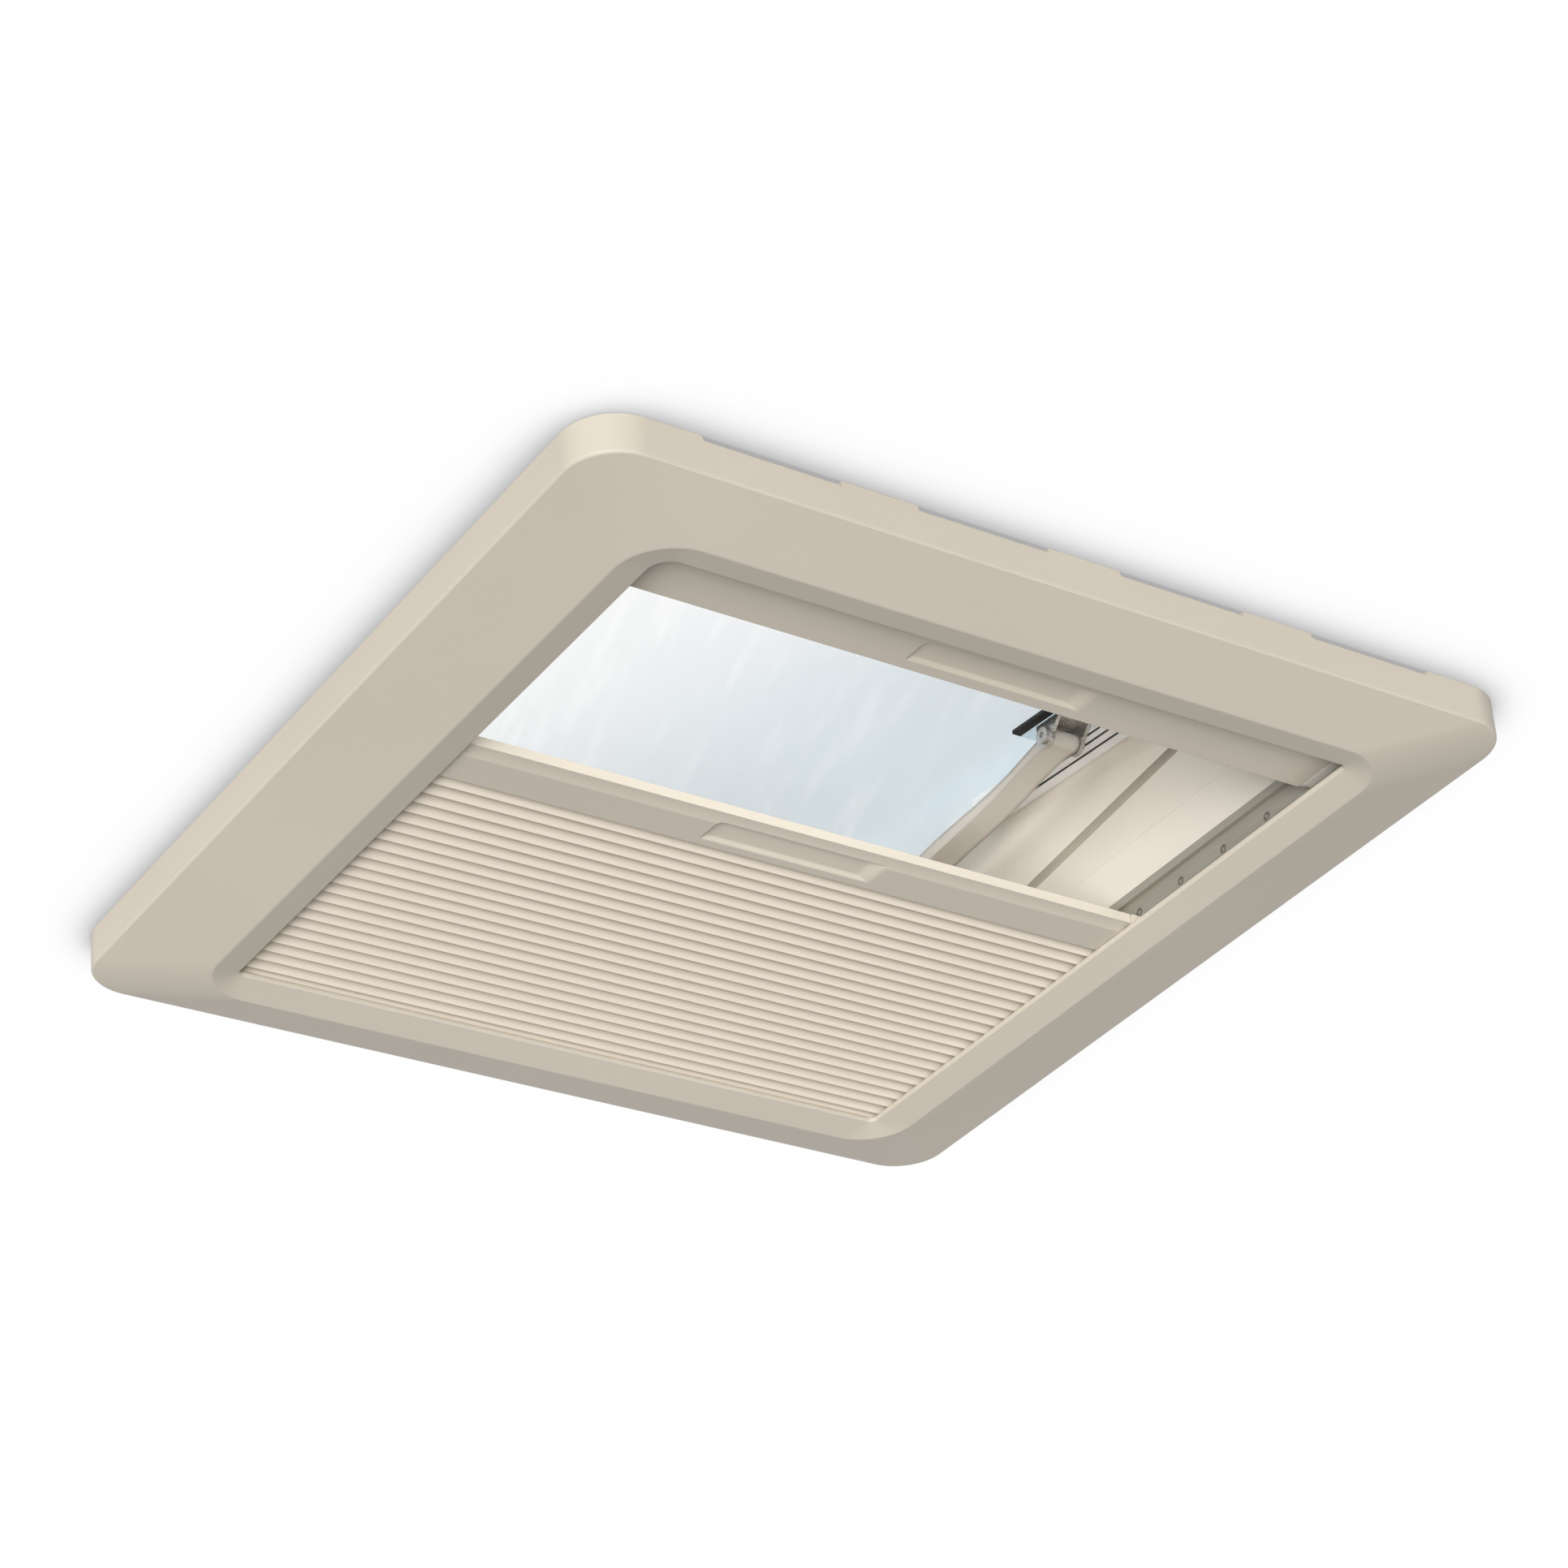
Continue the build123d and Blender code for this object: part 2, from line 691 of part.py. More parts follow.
with BuildPart() as dome:
    with BuildSketch(rim.offset(dome_bottom)):
        RectangleRounded(2 * bulge_half, 2 * bulge_half, bulge_corner)
    extrude(amount=bulge_height + dome_sheet, taper=bulge_taper)
    fillet(dome.edges().group_by(Axis(rim.origin, rim.z_dir))[-1], bulge_round)
    with BuildSketch(rim.offset(dome_bottom)):
        RectangleRounded(2 * dome_half, 2 * dome_half, dome_corner)
    extrude(amount=dome_sheet)
    add(dome_hollow.part, mode=Mode.SUBTRACT)
    with BuildSketch(rim.offset(-skirt_drop)):
        ring(
            dome_half, dome_half, dome_corner,
            dome_half - dome_sheet, dome_half - dome_sheet, dome_corner - dome_sheet,
        )
        with Locations((0, -(skirt_cut + dome_half) / 2 - dome_sheet)):
            Rectangle(2 * dome_half, dome_half - skirt_cut + 2 * dome_sheet, mode=Mode.SUBTRACT)
    extrude(amount=skirt_drop + dome_bottom)
    with BuildSketch(rim.offset(dome_bottom)):
        for sign in sides.values():
            with Locations((sign * hinge_x, leaf_screw_y)):
                with GridLocations(2 * leaf_screw_spread, 1, 2, 1):
                    Circle(fixing_radius)
    extrude(amount=dome_sheet, mode=Mode.SUBTRACT)
pieces["dome"] = dome

with BuildPart() as pane:
    with BuildSketch(rim.offset(pane_bottom)):
        RectangleRounded(2 * pane_half, 2 * pane_half, dome_corner - dome_sheet)
    extrude(amount=dome_sheet)
pieces["pane"] = pane

# Aluminium rails under the pane, each with three black inserts
rail_height = pane_bottom + rail_drop
for side, sign in sides.items():
    with BuildPart() as rail:
        with BuildSketch(rim.offset(-rail_drop)):
            with Locations((sign * (rail_inner + rail_width / 2), 0)):
                Rectangle(rail_width, rail_length)
        extrude(amount=rail_height)
        with BuildSketch(rim.offset(-rail_drop)):
            for groove in rail_grooves:
                with Locations((sign * (rail_inner + groove), 0)):
                    Rectangle(groove_width, rail_length)
        extrude(amount=groove_depth, mode=Mode.SUBTRACT)
    pieces[f"rail_{side}"] = rail

with BuildPart() as rail_inserts:
    with BuildSketch(rim.offset(-rail_drop + fit)):
        for sign in sides.values():
            for groove in rail_grooves:
                with Locations((sign * (rail_inner + groove), 0)):
                    Rectangle(groove_width, rail_length)
    extrude(amount=groove_depth - fit)
pieces["rail_inserts"] = rail_inserts

# Clear pads bonded to the pane, with a black strip, and the steel clevises under them
pad_inner = arm_inner - pad_margin
pad_bottom = pane_bottom - pad_thickness
pad_along, _ = on_rim(pivot_y + pad_overrun, rim_height)
pivot_along, pivot_above = on_rim(pivot_y, pivot_z)
clevis_inner = arm_inner - fit - ear
clevis_outer = arm_inner + arm_width + fit
plate_bottom = pad_bottom - clevis_plate
clevis_middle = (clevis_inner + clevis_outer + ear) / 2
clevis_screw_y = pivot_along - clevis_length / 2 - clevis_screw_gap / 4
for side, sign in sides.items():
    with BuildPart() as pad:
        with BuildSketch(rim.offset(pad_bottom)):
            with Locations((sign * (pad_inner + pad_width / 2 - fit), pad_along - pad_length / 2)):
                Rectangle(pad_width - 2 * fit, pad_length)
            with Locations((sign * (pad_inner + pad_strip / 2), pad_along - pad_length / 2)):
                Rectangle(pad_strip, pad_length, mode=Mode.SUBTRACT)
            with Locations((sign * clevis_middle, clevis_screw_y)):
                with GridLocations(1, clevis_screw_gap, 1, 2):
                    Circle(fixing_radius, mode=Mode.SUBTRACT)
        extrude(amount=pad_thickness)
    pieces[f"pad_{side}"] = pad

with BuildPart() as pad_strips:
    with BuildSketch(rim.offset(pad_bottom)):
        for sign in sides.values():
            with Locations((sign * (pad_inner + pad_strip / 2), pad_along - pad_length / 2)):
                Rectangle(pad_strip - 2 * fine_fit, pad_length)
    extrude(amount=pad_thickness)
pieces["pad_strips"] = pad_strips

for side, sign in sides.items():
    with BuildPart() as clevis:
        with BuildSketch(rim.offset(plate_bottom)):
            with Locations((sign * clevis_middle, pivot_along - clevis_length / 2 + ear_radius)):
                Rectangle(clevis_outer + ear - clevis_inner, clevis_length)
            with Locations((sign * clevis_middle, clevis_screw_y)):
                with GridLocations(1, clevis_screw_gap, 1, 2):
                    Circle(fixing_radius, mode=Mode.SUBTRACT)
        extrude(amount=clevis_plate)
        for face in (clevis_inner, clevis_outer):
            with BuildSketch(beside(sign * face)):
                with BuildLine():
                    Polyline(
                        (pivot_along - ear_root, pad_bottom),
                        (pivot_along - ear_radius, pivot_above),
                        (pivot_along + ear_radius, pivot_above),
                        (pivot_along + ear_radius, pad_bottom),
                        close=True,
                    )
                make_face()
                with Locations((pivot_along, pivot_above)):
                    Circle(ear_radius)
            extrude(amount=sign * ear)
        with BuildSketch(beside(sign * clevis_inner)):
            with Locations((pivot_along, pivot_above)):
                Circle(pivot_pin_radius + fine_fit)
        extrude(amount=sign * (clevis_outer + ear - clevis_inner), mode=Mode.SUBTRACT)
    pieces[f"clevis_{side}"] = clevis

with BuildPart() as pivot_pins:
    for sign in sides.values():
        head_face = clevis_inner - pivot_head
        with BuildSketch(Plane.YZ.offset(sign * head_face)):
            with Locations((pivot_y, pivot_z)):
                Circle(pivot_head_radius)
        extrude(amount=sign * pivot_head)
        with BuildSketch(Plane.YZ.offset(sign * head_face)):
            with Locations((pivot_y, pivot_z)):
                Circle(pivot_pin_radius)
        extrude(amount=sign * (clevis_outer + ear - head_face))
        with BuildSketch(Plane.YZ.offset(sign * head_face)):
            with Locations((pivot_y, pivot_z)):
                RegularPolygon(pivot_recess_radius, 6)
        extrude(amount=sign * pivot_recess, mode=Mode.SUBTRACT)
pieces["pivot_pins"] = pivot_pins

with BuildPart() as clevis_screws:
    for sign in sides.values():
        for height, radius, length in (
            (plate_bottom - fixing_head_height, fixing_head, fixing_head_height),
            (plate_bottom, fixing_radius, clevis_plate + pad_thickness),
        ):
            with BuildSketch(rim.offset(height)):
                with Locations((sign * clevis_middle, clevis_screw_y)):
                    with GridLocations(1, clevis_screw_gap, 1, 2):
                        Circle(radius)
            extrude(amount=length)
pieces["clevis_screws"] = clevis_screws

# Dome hinge: two brackets on the roof flange, two leaves on the dome and a pin through each pair
bracket_back = hinge_y - knuckle_radius - bracket_base
for side, sign in sides.items():
    middle = sign * hinge_x
    near = middle - leaf_knuckle / 2 - fit - knuckle_width
    with BuildPart() as bracket:
        with BuildSketch(Plane.XY.offset(flange_top)):
            with Locations((middle, (bracket_back + bracket_foot) / 2)):
                Rectangle(leaf_knuckle + 2 * fit + 2 * knuckle_width, bracket_foot - bracket_back)
            with Locations((middle, bracket_screw_y)):
                Circle(fixing_radius, mode=Mode.SUBTRACT)
        extrude(amount=bracket_base)
        for face in (near, near + knuckle_width + leaf_knuckle + 2 * fit):
            with BuildSketch(Plane.YZ.offset(face)):
                Polygon(
                    (bracket_back, flange_top),
                    (bracket_foot, flange_top),
                    (hinge_y + knuckle_radius, hinge_z),
                    (hinge_y - knuckle_radius, hinge_z),
                    align=None,
                )
                with Locations((hinge_y, hinge_z)):
                    Circle(knuckle_radius)
                    Circle(hinge_pin_radius + fine_fit, mode=Mode.SUBTRACT)
            extrude(amount=knuckle_width)
    pieces[f"hinge_bracket_{side}"] = bracket

    with BuildPart() as leaf:
        with BuildSketch(beside(middle - leaf_knuckle / 2)):
            with Locations((hinge_along, hinge_above)):
                Circle(knuckle_radius)
            Polygon(
                (hinge_along, dome_top),
                (hinge_along + leaf_length, dome_top),
                (hinge_along + leaf_length, dome_top + leaf_thickness),
                (hinge_along, dome_top + leaf_thickness),
                align=None,
            )
            with Locations((hinge_along, hinge_above)):
                Circle(hinge_pin_radius + fine_fit, mode=Mode.SUBTRACT)
        extrude(amount=leaf_knuckle)
        with BuildSketch(rim.offset(dome_top)):
            with Locations((middle, leaf_screw_y)):
                with GridLocations(2 * leaf_screw_spread, 1, 2, 1):
                    Circle(fixing_radius)
        extrude(amount=2 * leaf_thickness, mode=Mode.SUBTRACT)
    pieces[f"hinge_leaf_{side}"] = leaf

with BuildPart() as hinge_pins:
    for sign in sides.values():
        with BuildSketch(Plane.YZ.offset(sign * hinge_x)):
            with Locations((hinge_y, hinge_z)):
                Circle(hinge_pin_radius)
        extrude(amount=leaf_knuckle / 2 + fit + knuckle_width + pin_head, both=True)
pieces["hinge_pins"] = hinge_pins

with BuildPart() as hinge_screws:
    for height, radius, length in (
        (dome_top + leaf_thickness, fixing_head, fixing_head_height),
        (dome_bottom, fixing_radius, dome_sheet + leaf_thickness),
    ):
        with BuildSketch(rim.offset(height)):
            for sign in sides.values():
                with Locations((sign * hinge_x, leaf_screw_y)):
                    with GridLocations(2 * leaf_screw_spread, 1, 2, 1):
                        Circle(radius)
        extrude(amount=length)
pieces["hinge_screws"] = hinge_screws

with BuildPart() as bracket_screws:
    for height, radius, length in (
        (flange_top + bracket_base, fixing_head, fixing_head_height),
        (flange_bottom, fixing_radius, flange_thickness + bracket_base),
    ):
        with BuildSketch(Plane.XY.offset(height)):
            with Locations((-hinge_x, bracket_screw_y), (hinge_x, bracket_screw_y)):
                Circle(radius)
        extrude(amount=length)
pieces["bracket_screws"] = bracket_screws

# Bow: two curved arms and a cross handle, moulded in one
reach = pin_y - pivot_y
drop = pivot_z - pin_z


def arm_points(shares):
    """Points of an arm's edge, from shares of the way from pivot to pins and the rise there."""
    return [(pivot_y + share * reach, pivot_z - share * drop + rise) for share, rise in shares]


pocket_top = pin_z + handle_height / 2 - pocket_roof
button_bottom = pin_z - handle_height / 2 - button_proud
button_top = button_bottom + button_height
with BuildPart() as bow:
    for sign in sides.values():
        with BuildSketch(Plane.YZ.offset(sign * arm_inner)):
            with BuildLine():
                upper = Spline(*arm_points(arm_top))
                lower = Spline(*arm_points(arm_under))
                Line(upper @ 1, lower @ 0)
                Line(lower @ 1, upper @ 0)
            make_face()
            with Locations((pivot_y, pivot_z)):
                Circle(pivot_boss)
        extrude(amount=sign * arm_width)
    with BuildSketch(Plane.YZ):
        with Locations((pin_y, pin_z)):
            RectangleRounded(handle_width, handle_height, handle_round)
    extrude(amount=arm_inner + arm_width, both=True)
    with BuildSketch(Plane.XY.offset(pin_z - handle_height)):
        with Locations((0, pin_y)):
            Rectangle(button_length + 2 * fit, button_width + 2 * fit)
    extrude(amount=pocket_top - pin_z + handle_height, mode=Mode.SUBTRACT)
    with BuildSketch(Plane.YZ):
        with Locations((pivot_y, pivot_z)):
            Circle(pivot_pin_radius + fine_fit)
    extrude(amount=arm_inner + arm_width, both=True, mode=Mode.SUBTRACT)
    for sign in sides.values():
        with BuildSketch(Plane.YZ.offset(sign * arm_inner)):
            with Locations((pin_y, pin_z)):
                Circle(axle_radius)
        extrude(amount=sign * arm_width, mode=Mode.SUBTRACT)
pieces["bow"] = bow

roller_end = slot_floor - liner - fit
with BuildPart() as bow_axles:
    for sign in sides.values():
        with BuildSketch(Plane.YZ.offset(sign * arm_inner)):
            with Locations((pin_y, pin_z)):
                Circle(axle_radius)
        extrude(amount=sign * (roller_end - arm_inner))
pieces["bow_axles"] = bow_axles

with BuildPart() as bow_rollers:
    for sign in sides.values():
        with BuildSketch(Plane.YZ.offset(sign * roller_end)):
            with Locations((pin_y, pin_z)):
                Circle(roller_radius)
                Circle(axle_radius + fine_fit, mode=Mode.SUBTRACT)
        extrude(amount=-sign * roller_width)
pieces["bow_rollers"] = bow_rollers

with BuildPart() as lock_button:
    with BuildSketch(Plane.XY.offset(button_bottom)):
        with Locations((0, pin_y)):
            RectangleRounded(button_length, button_width, button_corner)
    extrude(amount=button_height)
    fillet(lock_button.edges().group_by(Axis.Z)[0], button_edge)
pieces["lock_button"] = lock_button

spring_height = pocket_top - button_top - spring_wire - 2 * fine_fit
with BuildPart() as button_spring:
    with BuildLine():
        coil = Helix(
            pitch=spring_height / spring_turns, height=spring_height, radius=spring_radius,
            center=(0, pin_y, button_top + spring_wire / 2 + fine_fit),
        )
    with BuildSketch(coil ^ 0):
        Circle(spring_wire / 2)
    sweep()
pieces["button_spring"] = button_spring

# Catch that the handle rests in when the dome is shut
handle_back = pin_y + handle_width / 2 + 2 * fit
handle_under = pin_z - handle_height / 2 - 2 * fit
catch_face = wall_inner - catch_thickness
catch_screw_z = pin_z + catch_screw_rise
catch_foot = lining_height + 2 * fit
with BuildPart() as catch:
    with BuildSketch(Plane.YZ.offset(-catch_half)):
        Polygon(
            (wall_inner, catch_foot),
            (wall_inner, catch_screw_z + catch_margin),
            (catch_face, catch_screw_z + catch_margin),
            (catch_face, pin_z + handle_height / 2),
            (handle_back, pin_z),
            (handle_back, handle_under),
            (pin_y, handle_under),
            (pin_y, handle_under - catch_thickness),
            (well_half - fit, handle_under - catch_thickness),
            (well_half - fit, catch_foot),
            align=None,
        )
    extrude(amount=2 * catch_half)
    # Notch that the lock button drops into
    with BuildSketch(Plane.XY.offset(handle_under - catch_thickness)):
        with Locations((0, pin_y)):
            Rectangle(button_length + catch_thickness, 2 * (handle_back - pin_y))
    extrude(amount=handle_height, mode=Mode.SUBTRACT)
    with BuildSketch(Plane.XZ.offset(-wall_inner)):
        with Locations((0, catch_screw_z)):
            with GridLocations(2 * catch_screw_spread, 1, 2, 1):
                Circle(fixing_radius)
    extrude(amount=catch_thickness, mode=Mode.SUBTRACT)
pieces["catch"] = catch

with BuildPart() as catch_screws:
    for start, radius, length in (
        (catch_face - fixing_head_height, fixing_head, fixing_head_height),
        (catch_face, fixing_radius, spigot_outer - catch_face),
    ):
        with BuildSketch(Plane.XZ.offset(-start)):
            with Locations((0, catch_screw_z)):
                with GridLocations(2 * catch_screw_spread, 1, 2, 1):
                    Circle(radius)
        extrude(amount=-length)
pieces["catch_screws"] = catch_screws

os.makedirs("parts", exist_ok=True)
for name, piece in pieces.items():
    piece.part.label = name
    export_step(piece.part, f"parts/{name}.step")

print("hinge", hinge_y, round(hinge_z, 3), "pivot", pivot_y, pivot_z)
print("pins", round(pin_y, 3), round(pin_z, 3), "bow length", round(crank, 3))
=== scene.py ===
import json
import math

import bmesh
import bpy
from mathutils import Matrix, Vector


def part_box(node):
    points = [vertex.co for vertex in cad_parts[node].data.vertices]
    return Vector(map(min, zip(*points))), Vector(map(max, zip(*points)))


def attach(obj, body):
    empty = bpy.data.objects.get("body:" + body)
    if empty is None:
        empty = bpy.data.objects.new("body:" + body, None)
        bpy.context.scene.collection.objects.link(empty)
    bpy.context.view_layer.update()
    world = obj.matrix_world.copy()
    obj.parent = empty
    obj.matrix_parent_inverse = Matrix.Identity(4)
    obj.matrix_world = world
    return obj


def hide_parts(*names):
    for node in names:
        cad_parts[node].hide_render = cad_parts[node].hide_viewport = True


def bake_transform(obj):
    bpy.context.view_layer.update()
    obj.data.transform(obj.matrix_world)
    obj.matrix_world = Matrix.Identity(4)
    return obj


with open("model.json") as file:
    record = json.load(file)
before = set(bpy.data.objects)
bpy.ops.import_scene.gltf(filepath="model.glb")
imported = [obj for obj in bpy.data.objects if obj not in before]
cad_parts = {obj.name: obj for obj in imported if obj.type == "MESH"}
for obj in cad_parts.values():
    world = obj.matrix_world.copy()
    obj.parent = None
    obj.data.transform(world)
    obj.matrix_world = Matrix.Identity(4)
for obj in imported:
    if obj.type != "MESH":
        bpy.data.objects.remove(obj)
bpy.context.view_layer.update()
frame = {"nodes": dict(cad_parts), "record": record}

# The roof light is seen from inside, from below. All lengths are in metres
cadNodes = frame["nodes"]
slotOf = {row["node"]: row["material_slot"] for row in frame["record"]["subparts"]}
mm = 0.001
print("frame loaded,", len(cadNodes), "nodes")


class Wire:
    # An output socket; arithmetic on it adds Math nodes to its own graph
    def __init__(self, graph, socket):
        self.graph = graph
        self.socket = socket

    def also(self, output):
        return Wire(self.graph, self.socket.node.outputs[output])

    def __add__(self, other):
        return self.graph.maths("ADD", self, other)

    def __radd__(self, other):
        return self.graph.maths("ADD", other, self)

    def __sub__(self, other):
        return self.graph.maths("SUBTRACT", self, other)

    def __rsub__(self, other):
        return self.graph.maths("SUBTRACT", other, self)

    def __mul__(self, other):
        return self.graph.maths("MULTIPLY", self, other)

    def __rmul__(self, other):
        return self.graph.maths("MULTIPLY", other, self)

    def __truediv__(self, other):
        return self.graph.maths("DIVIDE", self, other)

    def __rtruediv__(self, other):
        return self.graph.maths("DIVIDE", other, self)

    def __pow__(self, other):
        return self.graph.maths("POWER", self, other)


class Graph:
    # A node tree being written: node() adds one node with its settings, then its sockets
    def __init__(self, tree):
        self.tree = tree

    def node(self, kind, settings=None, sockets=None, out=0):
        made = self.tree.nodes.new(kind)
        for key, value in (settings or {}).items():
            setattr(made, key, value)
        for key, value in (sockets or {}).items():
            self.feed(made.inputs[key], value)
        if made.outputs:
            return Wire(self, made.outputs[out])

    def feed(self, socket, value):
        if isinstance(value, Wire):
            self.tree.links.new(value.socket, socket)
        else:
            socket.default_value = value

    def maths(self, operation, *values):
        return self.node("ShaderNodeMath", {"operation": operation}, dict(enumerate(values)))

    def axes(self, vector):
        split = self.node("ShaderNodeSeparateXYZ", {}, {0: vector})
        return split, split.also(1), split.also(2)

    def ramp(self, factor, low, high):
        # 0 below low and 1 above high, with a smooth step between
        return self.node(
            "ShaderNodeMapRange", {"interpolation_type": "SMOOTHSTEP"},
            {"Value": factor, "From Min": low, "From Max": high},
        )


def linear(value):
    share = value / 255
    return share / 12.92 if share <= 0.04045 else ((share + 0.055) / 1.055) ** 2.4


def tone(red, green, blue):
    # A colour given from 0 to 255, as the linear colour that sockets take
    return (linear(red), linear(green), linear(blue), 1.0)


class Paint(Graph):
    # A material around one Principled shader, patterned on Object coordinates
    def __init__(self, name, fixed):
        self.material = bpy.data.materials.new(name)
        self.material.use_nodes = True
        super().__init__(self.material.node_tree)
        self.skin = self.tree.nodes["Principled BSDF"]
        for socket, value in fixed.items():
            self.skin.inputs[socket].default_value = value
        self.place = self.node("ShaderNodeTexCoord", out="Object")

    def noise(self, scale, detail=2.0, stretch=(1, 1, 1), turn=0.0, where=None):
        # Stretch is the grain's length along each axis, after a turn about Z
        spot = self.node("ShaderNodeMapping", {"vector_type": "TEXTURE"}, {
            "Vector": where or self.place, "Rotation": (0, 0, turn), "Scale": stretch,
        })
        return self.node("ShaderNodeTexNoise", {}, {"Vector": spot, "Scale": scale, "Detail": detail})

    def mixed(self, factor, first, second):
        return self.node("ShaderNodeMix", {"data_type": "RGBA"}, {0: factor, 6: first, 7: second}, out=2)

    def relief(self, height, distance, normal=None):
        sockets = {"Height": height, "Distance": distance}
        if normal:
            sockets["Normal"] = normal
        return self.node("ShaderNodeBump", {}, sockets)

    def softEdges(self, radius):
        return self.node("ShaderNodeBevel", {"samples": 4}, {"Radius": radius})

    def wear(self, **looks):
        for socket, value in looks.items():
            self.feed(self.skin.inputs[socket.replace("_", " ")], value)
        return self.material


def mouldedPlastic(name, look):
    paint = Paint(name, {"Specular IOR Level": look["shine"]})
    cloud = paint.ramp(paint.noise(look["cloudScale"], detail=3.0), *look["cloudSpan"])
    grain = paint.noise(look["grainScale"], detail=1.0)
    colour = paint.mixed(cloud, look["deep"], look["pale"])
    rough = paint.noise(look["cloudScale"] * 4) * look["polish"] + look["roughness"]
    normal = paint.relief(grain, look["grainDepth"], paint.softEdges(look["edge"]))
    return paint.wear(Base_Color=colour, Roughness=rough, Normal=normal)


frameLook = {
    "pale": tone(211, 202, 187), "deep": tone(208, 199, 184), "roughness": 0.4, "polish": 0.1,
    "shine": 0.3, "cloudScale": 7.0, "cloudSpan": (0.3, 0.7), "grainScale": 1400.0,
    "grainDepth": 0.02 * mm, "edge": 0.3 * mm,
}
outerLook = dict(frameLook, pale=tone(225, 217, 205), deep=tone(221, 213, 201))
bowLook = dict(frameLook, pale=tone(212, 206, 197), deep=tone(207, 201, 192), edge=4 * mm)
# The liners' plastic: a darker tone, partly its own colour and partly painted shade for the inside of
# the slots
linerAndShadeLook = dict(frameLook, pale=tone(178, 170, 157), deep=tone(172, 164, 151))
blackLook = dict(
    frameLook, pale=tone(38, 38, 40), deep=tone(30, 30, 32), roughness=0.45, grainScale=2200.0,
)


def brushedMetal(name, look):
    # Drawn or brushed metal: fine lines along one axis, with a duller cloud over them
    paint = Paint(name, {"Metallic": look["metallic"]})
    lines = paint.noise(look["lineScale"], detail=3.0, stretch=look["stretch"])
    cloud = paint.ramp(paint.noise(look["cloudScale"], detail=3.0), *look["cloudSpan"])
    colour = paint.mixed(paint.ramp(lines, *look["lineSpan"]), look["deep"], look["pale"])
    dull = paint.mixed(cloud * look["dulling"], colour, look["deep"])
    rough = lines * look["lineRough"] + look["roughness"] + cloud * look["lineRough"]
    normal = paint.relief(lines, look["lineDepth"], paint.softEdges(look["edge"]))
    return paint.wear(Base_Color=dull, Roughness=rough, Normal=normal)


trackLook = {
    "pale": tone(158, 153, 141), "deep": tone(150, 145, 133), "metallic": 0.1, "roughness": 0.46,
    "lineRough": 0.08, "stretch": (1, 50, 1), "lineScale": 1600.0, "lineSpan": (0.3, 0.7),
    "cloudScale": 25.0, "cloudSpan": (0.35, 0.7), "dulling": 0.3, "lineDepth": 0.004 * mm,
    "edge": 0.15 * mm,
}
railLook = dict(
    trackLook, pale=tone(226, 227, 229), deep=tone(208, 209, 212), metallic=0.35, roughness=0.28,
)
brightLook = dict(railLook, pale=tone(250, 251, 252), deep=tone(242, 243, 245), metallic=0.05)
steelLook = dict(
    trackLook, pale=tone(214, 212, 208), deep=tone(176, 174, 170), metallic=0.9, roughness=0.22,
    stretch=(1, 1, 1), lineScale=900.0, edge=0.25 * mm,
)


def sealRubber(name, look):
    paint = Paint(name, {"Specular IOR Level": look["shine"]})
    dust = paint.ramp(paint.noise(look["dustScale"], detail=4.0), *look["dustSpan"])
    colour = paint.mixed(dust, look["deep"], look["pale"])
    rough = dust * look["polish"] + look["roughness"]
    normal = paint.relief(paint.noise(look["grainScale"]), look["grainDepth"])
    return paint.wear(Base_Color=colour, Roughness=rough, Normal=normal)


rubberLook = {
    "pale": tone(38, 37, 37), "deep": tone(24, 24, 25), "shine": 0.3, "roughness": 0.62,
    "polish": 0.15, "dustScale": 60.0, "dustSpan": (0.4, 0.8), "grainScale": 1500.0,
    "grainDepth": 0.03 * mm,
}


def acrylic(name, look):
    # Clear sheet, with painted shade that makes it bluer and more opaque away from the corner nearest
    # the light, and faint wipe marks
    paint = Paint(name, {"IOR": 1.49, "Specular IOR Level": look["shine"]})
    x, y, _ = paint.axes(paint.place)
    # Painted shade: colour and opacity change with the distance from the corner nearest the light
    away = paint.ramp(x * look["leanX"] + y * look["leanY"], look["nearEdge"], look["farEdge"])
    wipes = paint.noise(
        look["wipeScale"], detail=3.0, stretch=look["wipeStretch"], turn=look["wipeTurn"],
    )
    marks = paint.ramp(wipes, *look["wipeSpan"])
    haze = paint.noise(look["hazeScale"], detail=1.0)
    colour = paint.mixed(away, look["near"], look["far"])
    marked = paint.mixed(marks * look["marking"], colour, look["mark"])
    rough = paint.noise(look["dustScale"]) * look["polish"] + look["roughness"]
    clear = away * look["paintedShadeAlpha"] + (haze - 0.5) * look["clouding"] - marks * look["clearing"]
    return paint.wear(Base_Color=marked, Roughness=rough, Alpha=clear + look["alpha"])


domeLook = {
    "near": tone(150, 214, 250), "far": tone(118, 196, 224), "mark": tone(206, 230, 246),
    "leanX": 0.95, "leanY": 0.3, "nearEdge": -0.09, "farEdge": 0.16, "alpha": 0.022,
    "paintedShadeAlpha": 0.098, "clouding": 0.02, "clearing": 0.006, "hazeScale": 9.0, "wipeScale": 22.0,
    "wipeStretch": (0.3, 2.6, 1.0), "wipeTurn": -0.31, "wipeSpan": (0.5, 0.72), "marking": 0.3,
    "dustScale": 260.0, "polish": 0.06, "roughness": 0.05, "shine": 0.5,
}
paneLook = dict(domeLook, clearing=0.04)
padLook = dict(
    domeLook, alpha=0.2, paintedShadeAlpha=0.0, marking=0.0, clearing=0.0, near=tone(226, 236, 242),
)


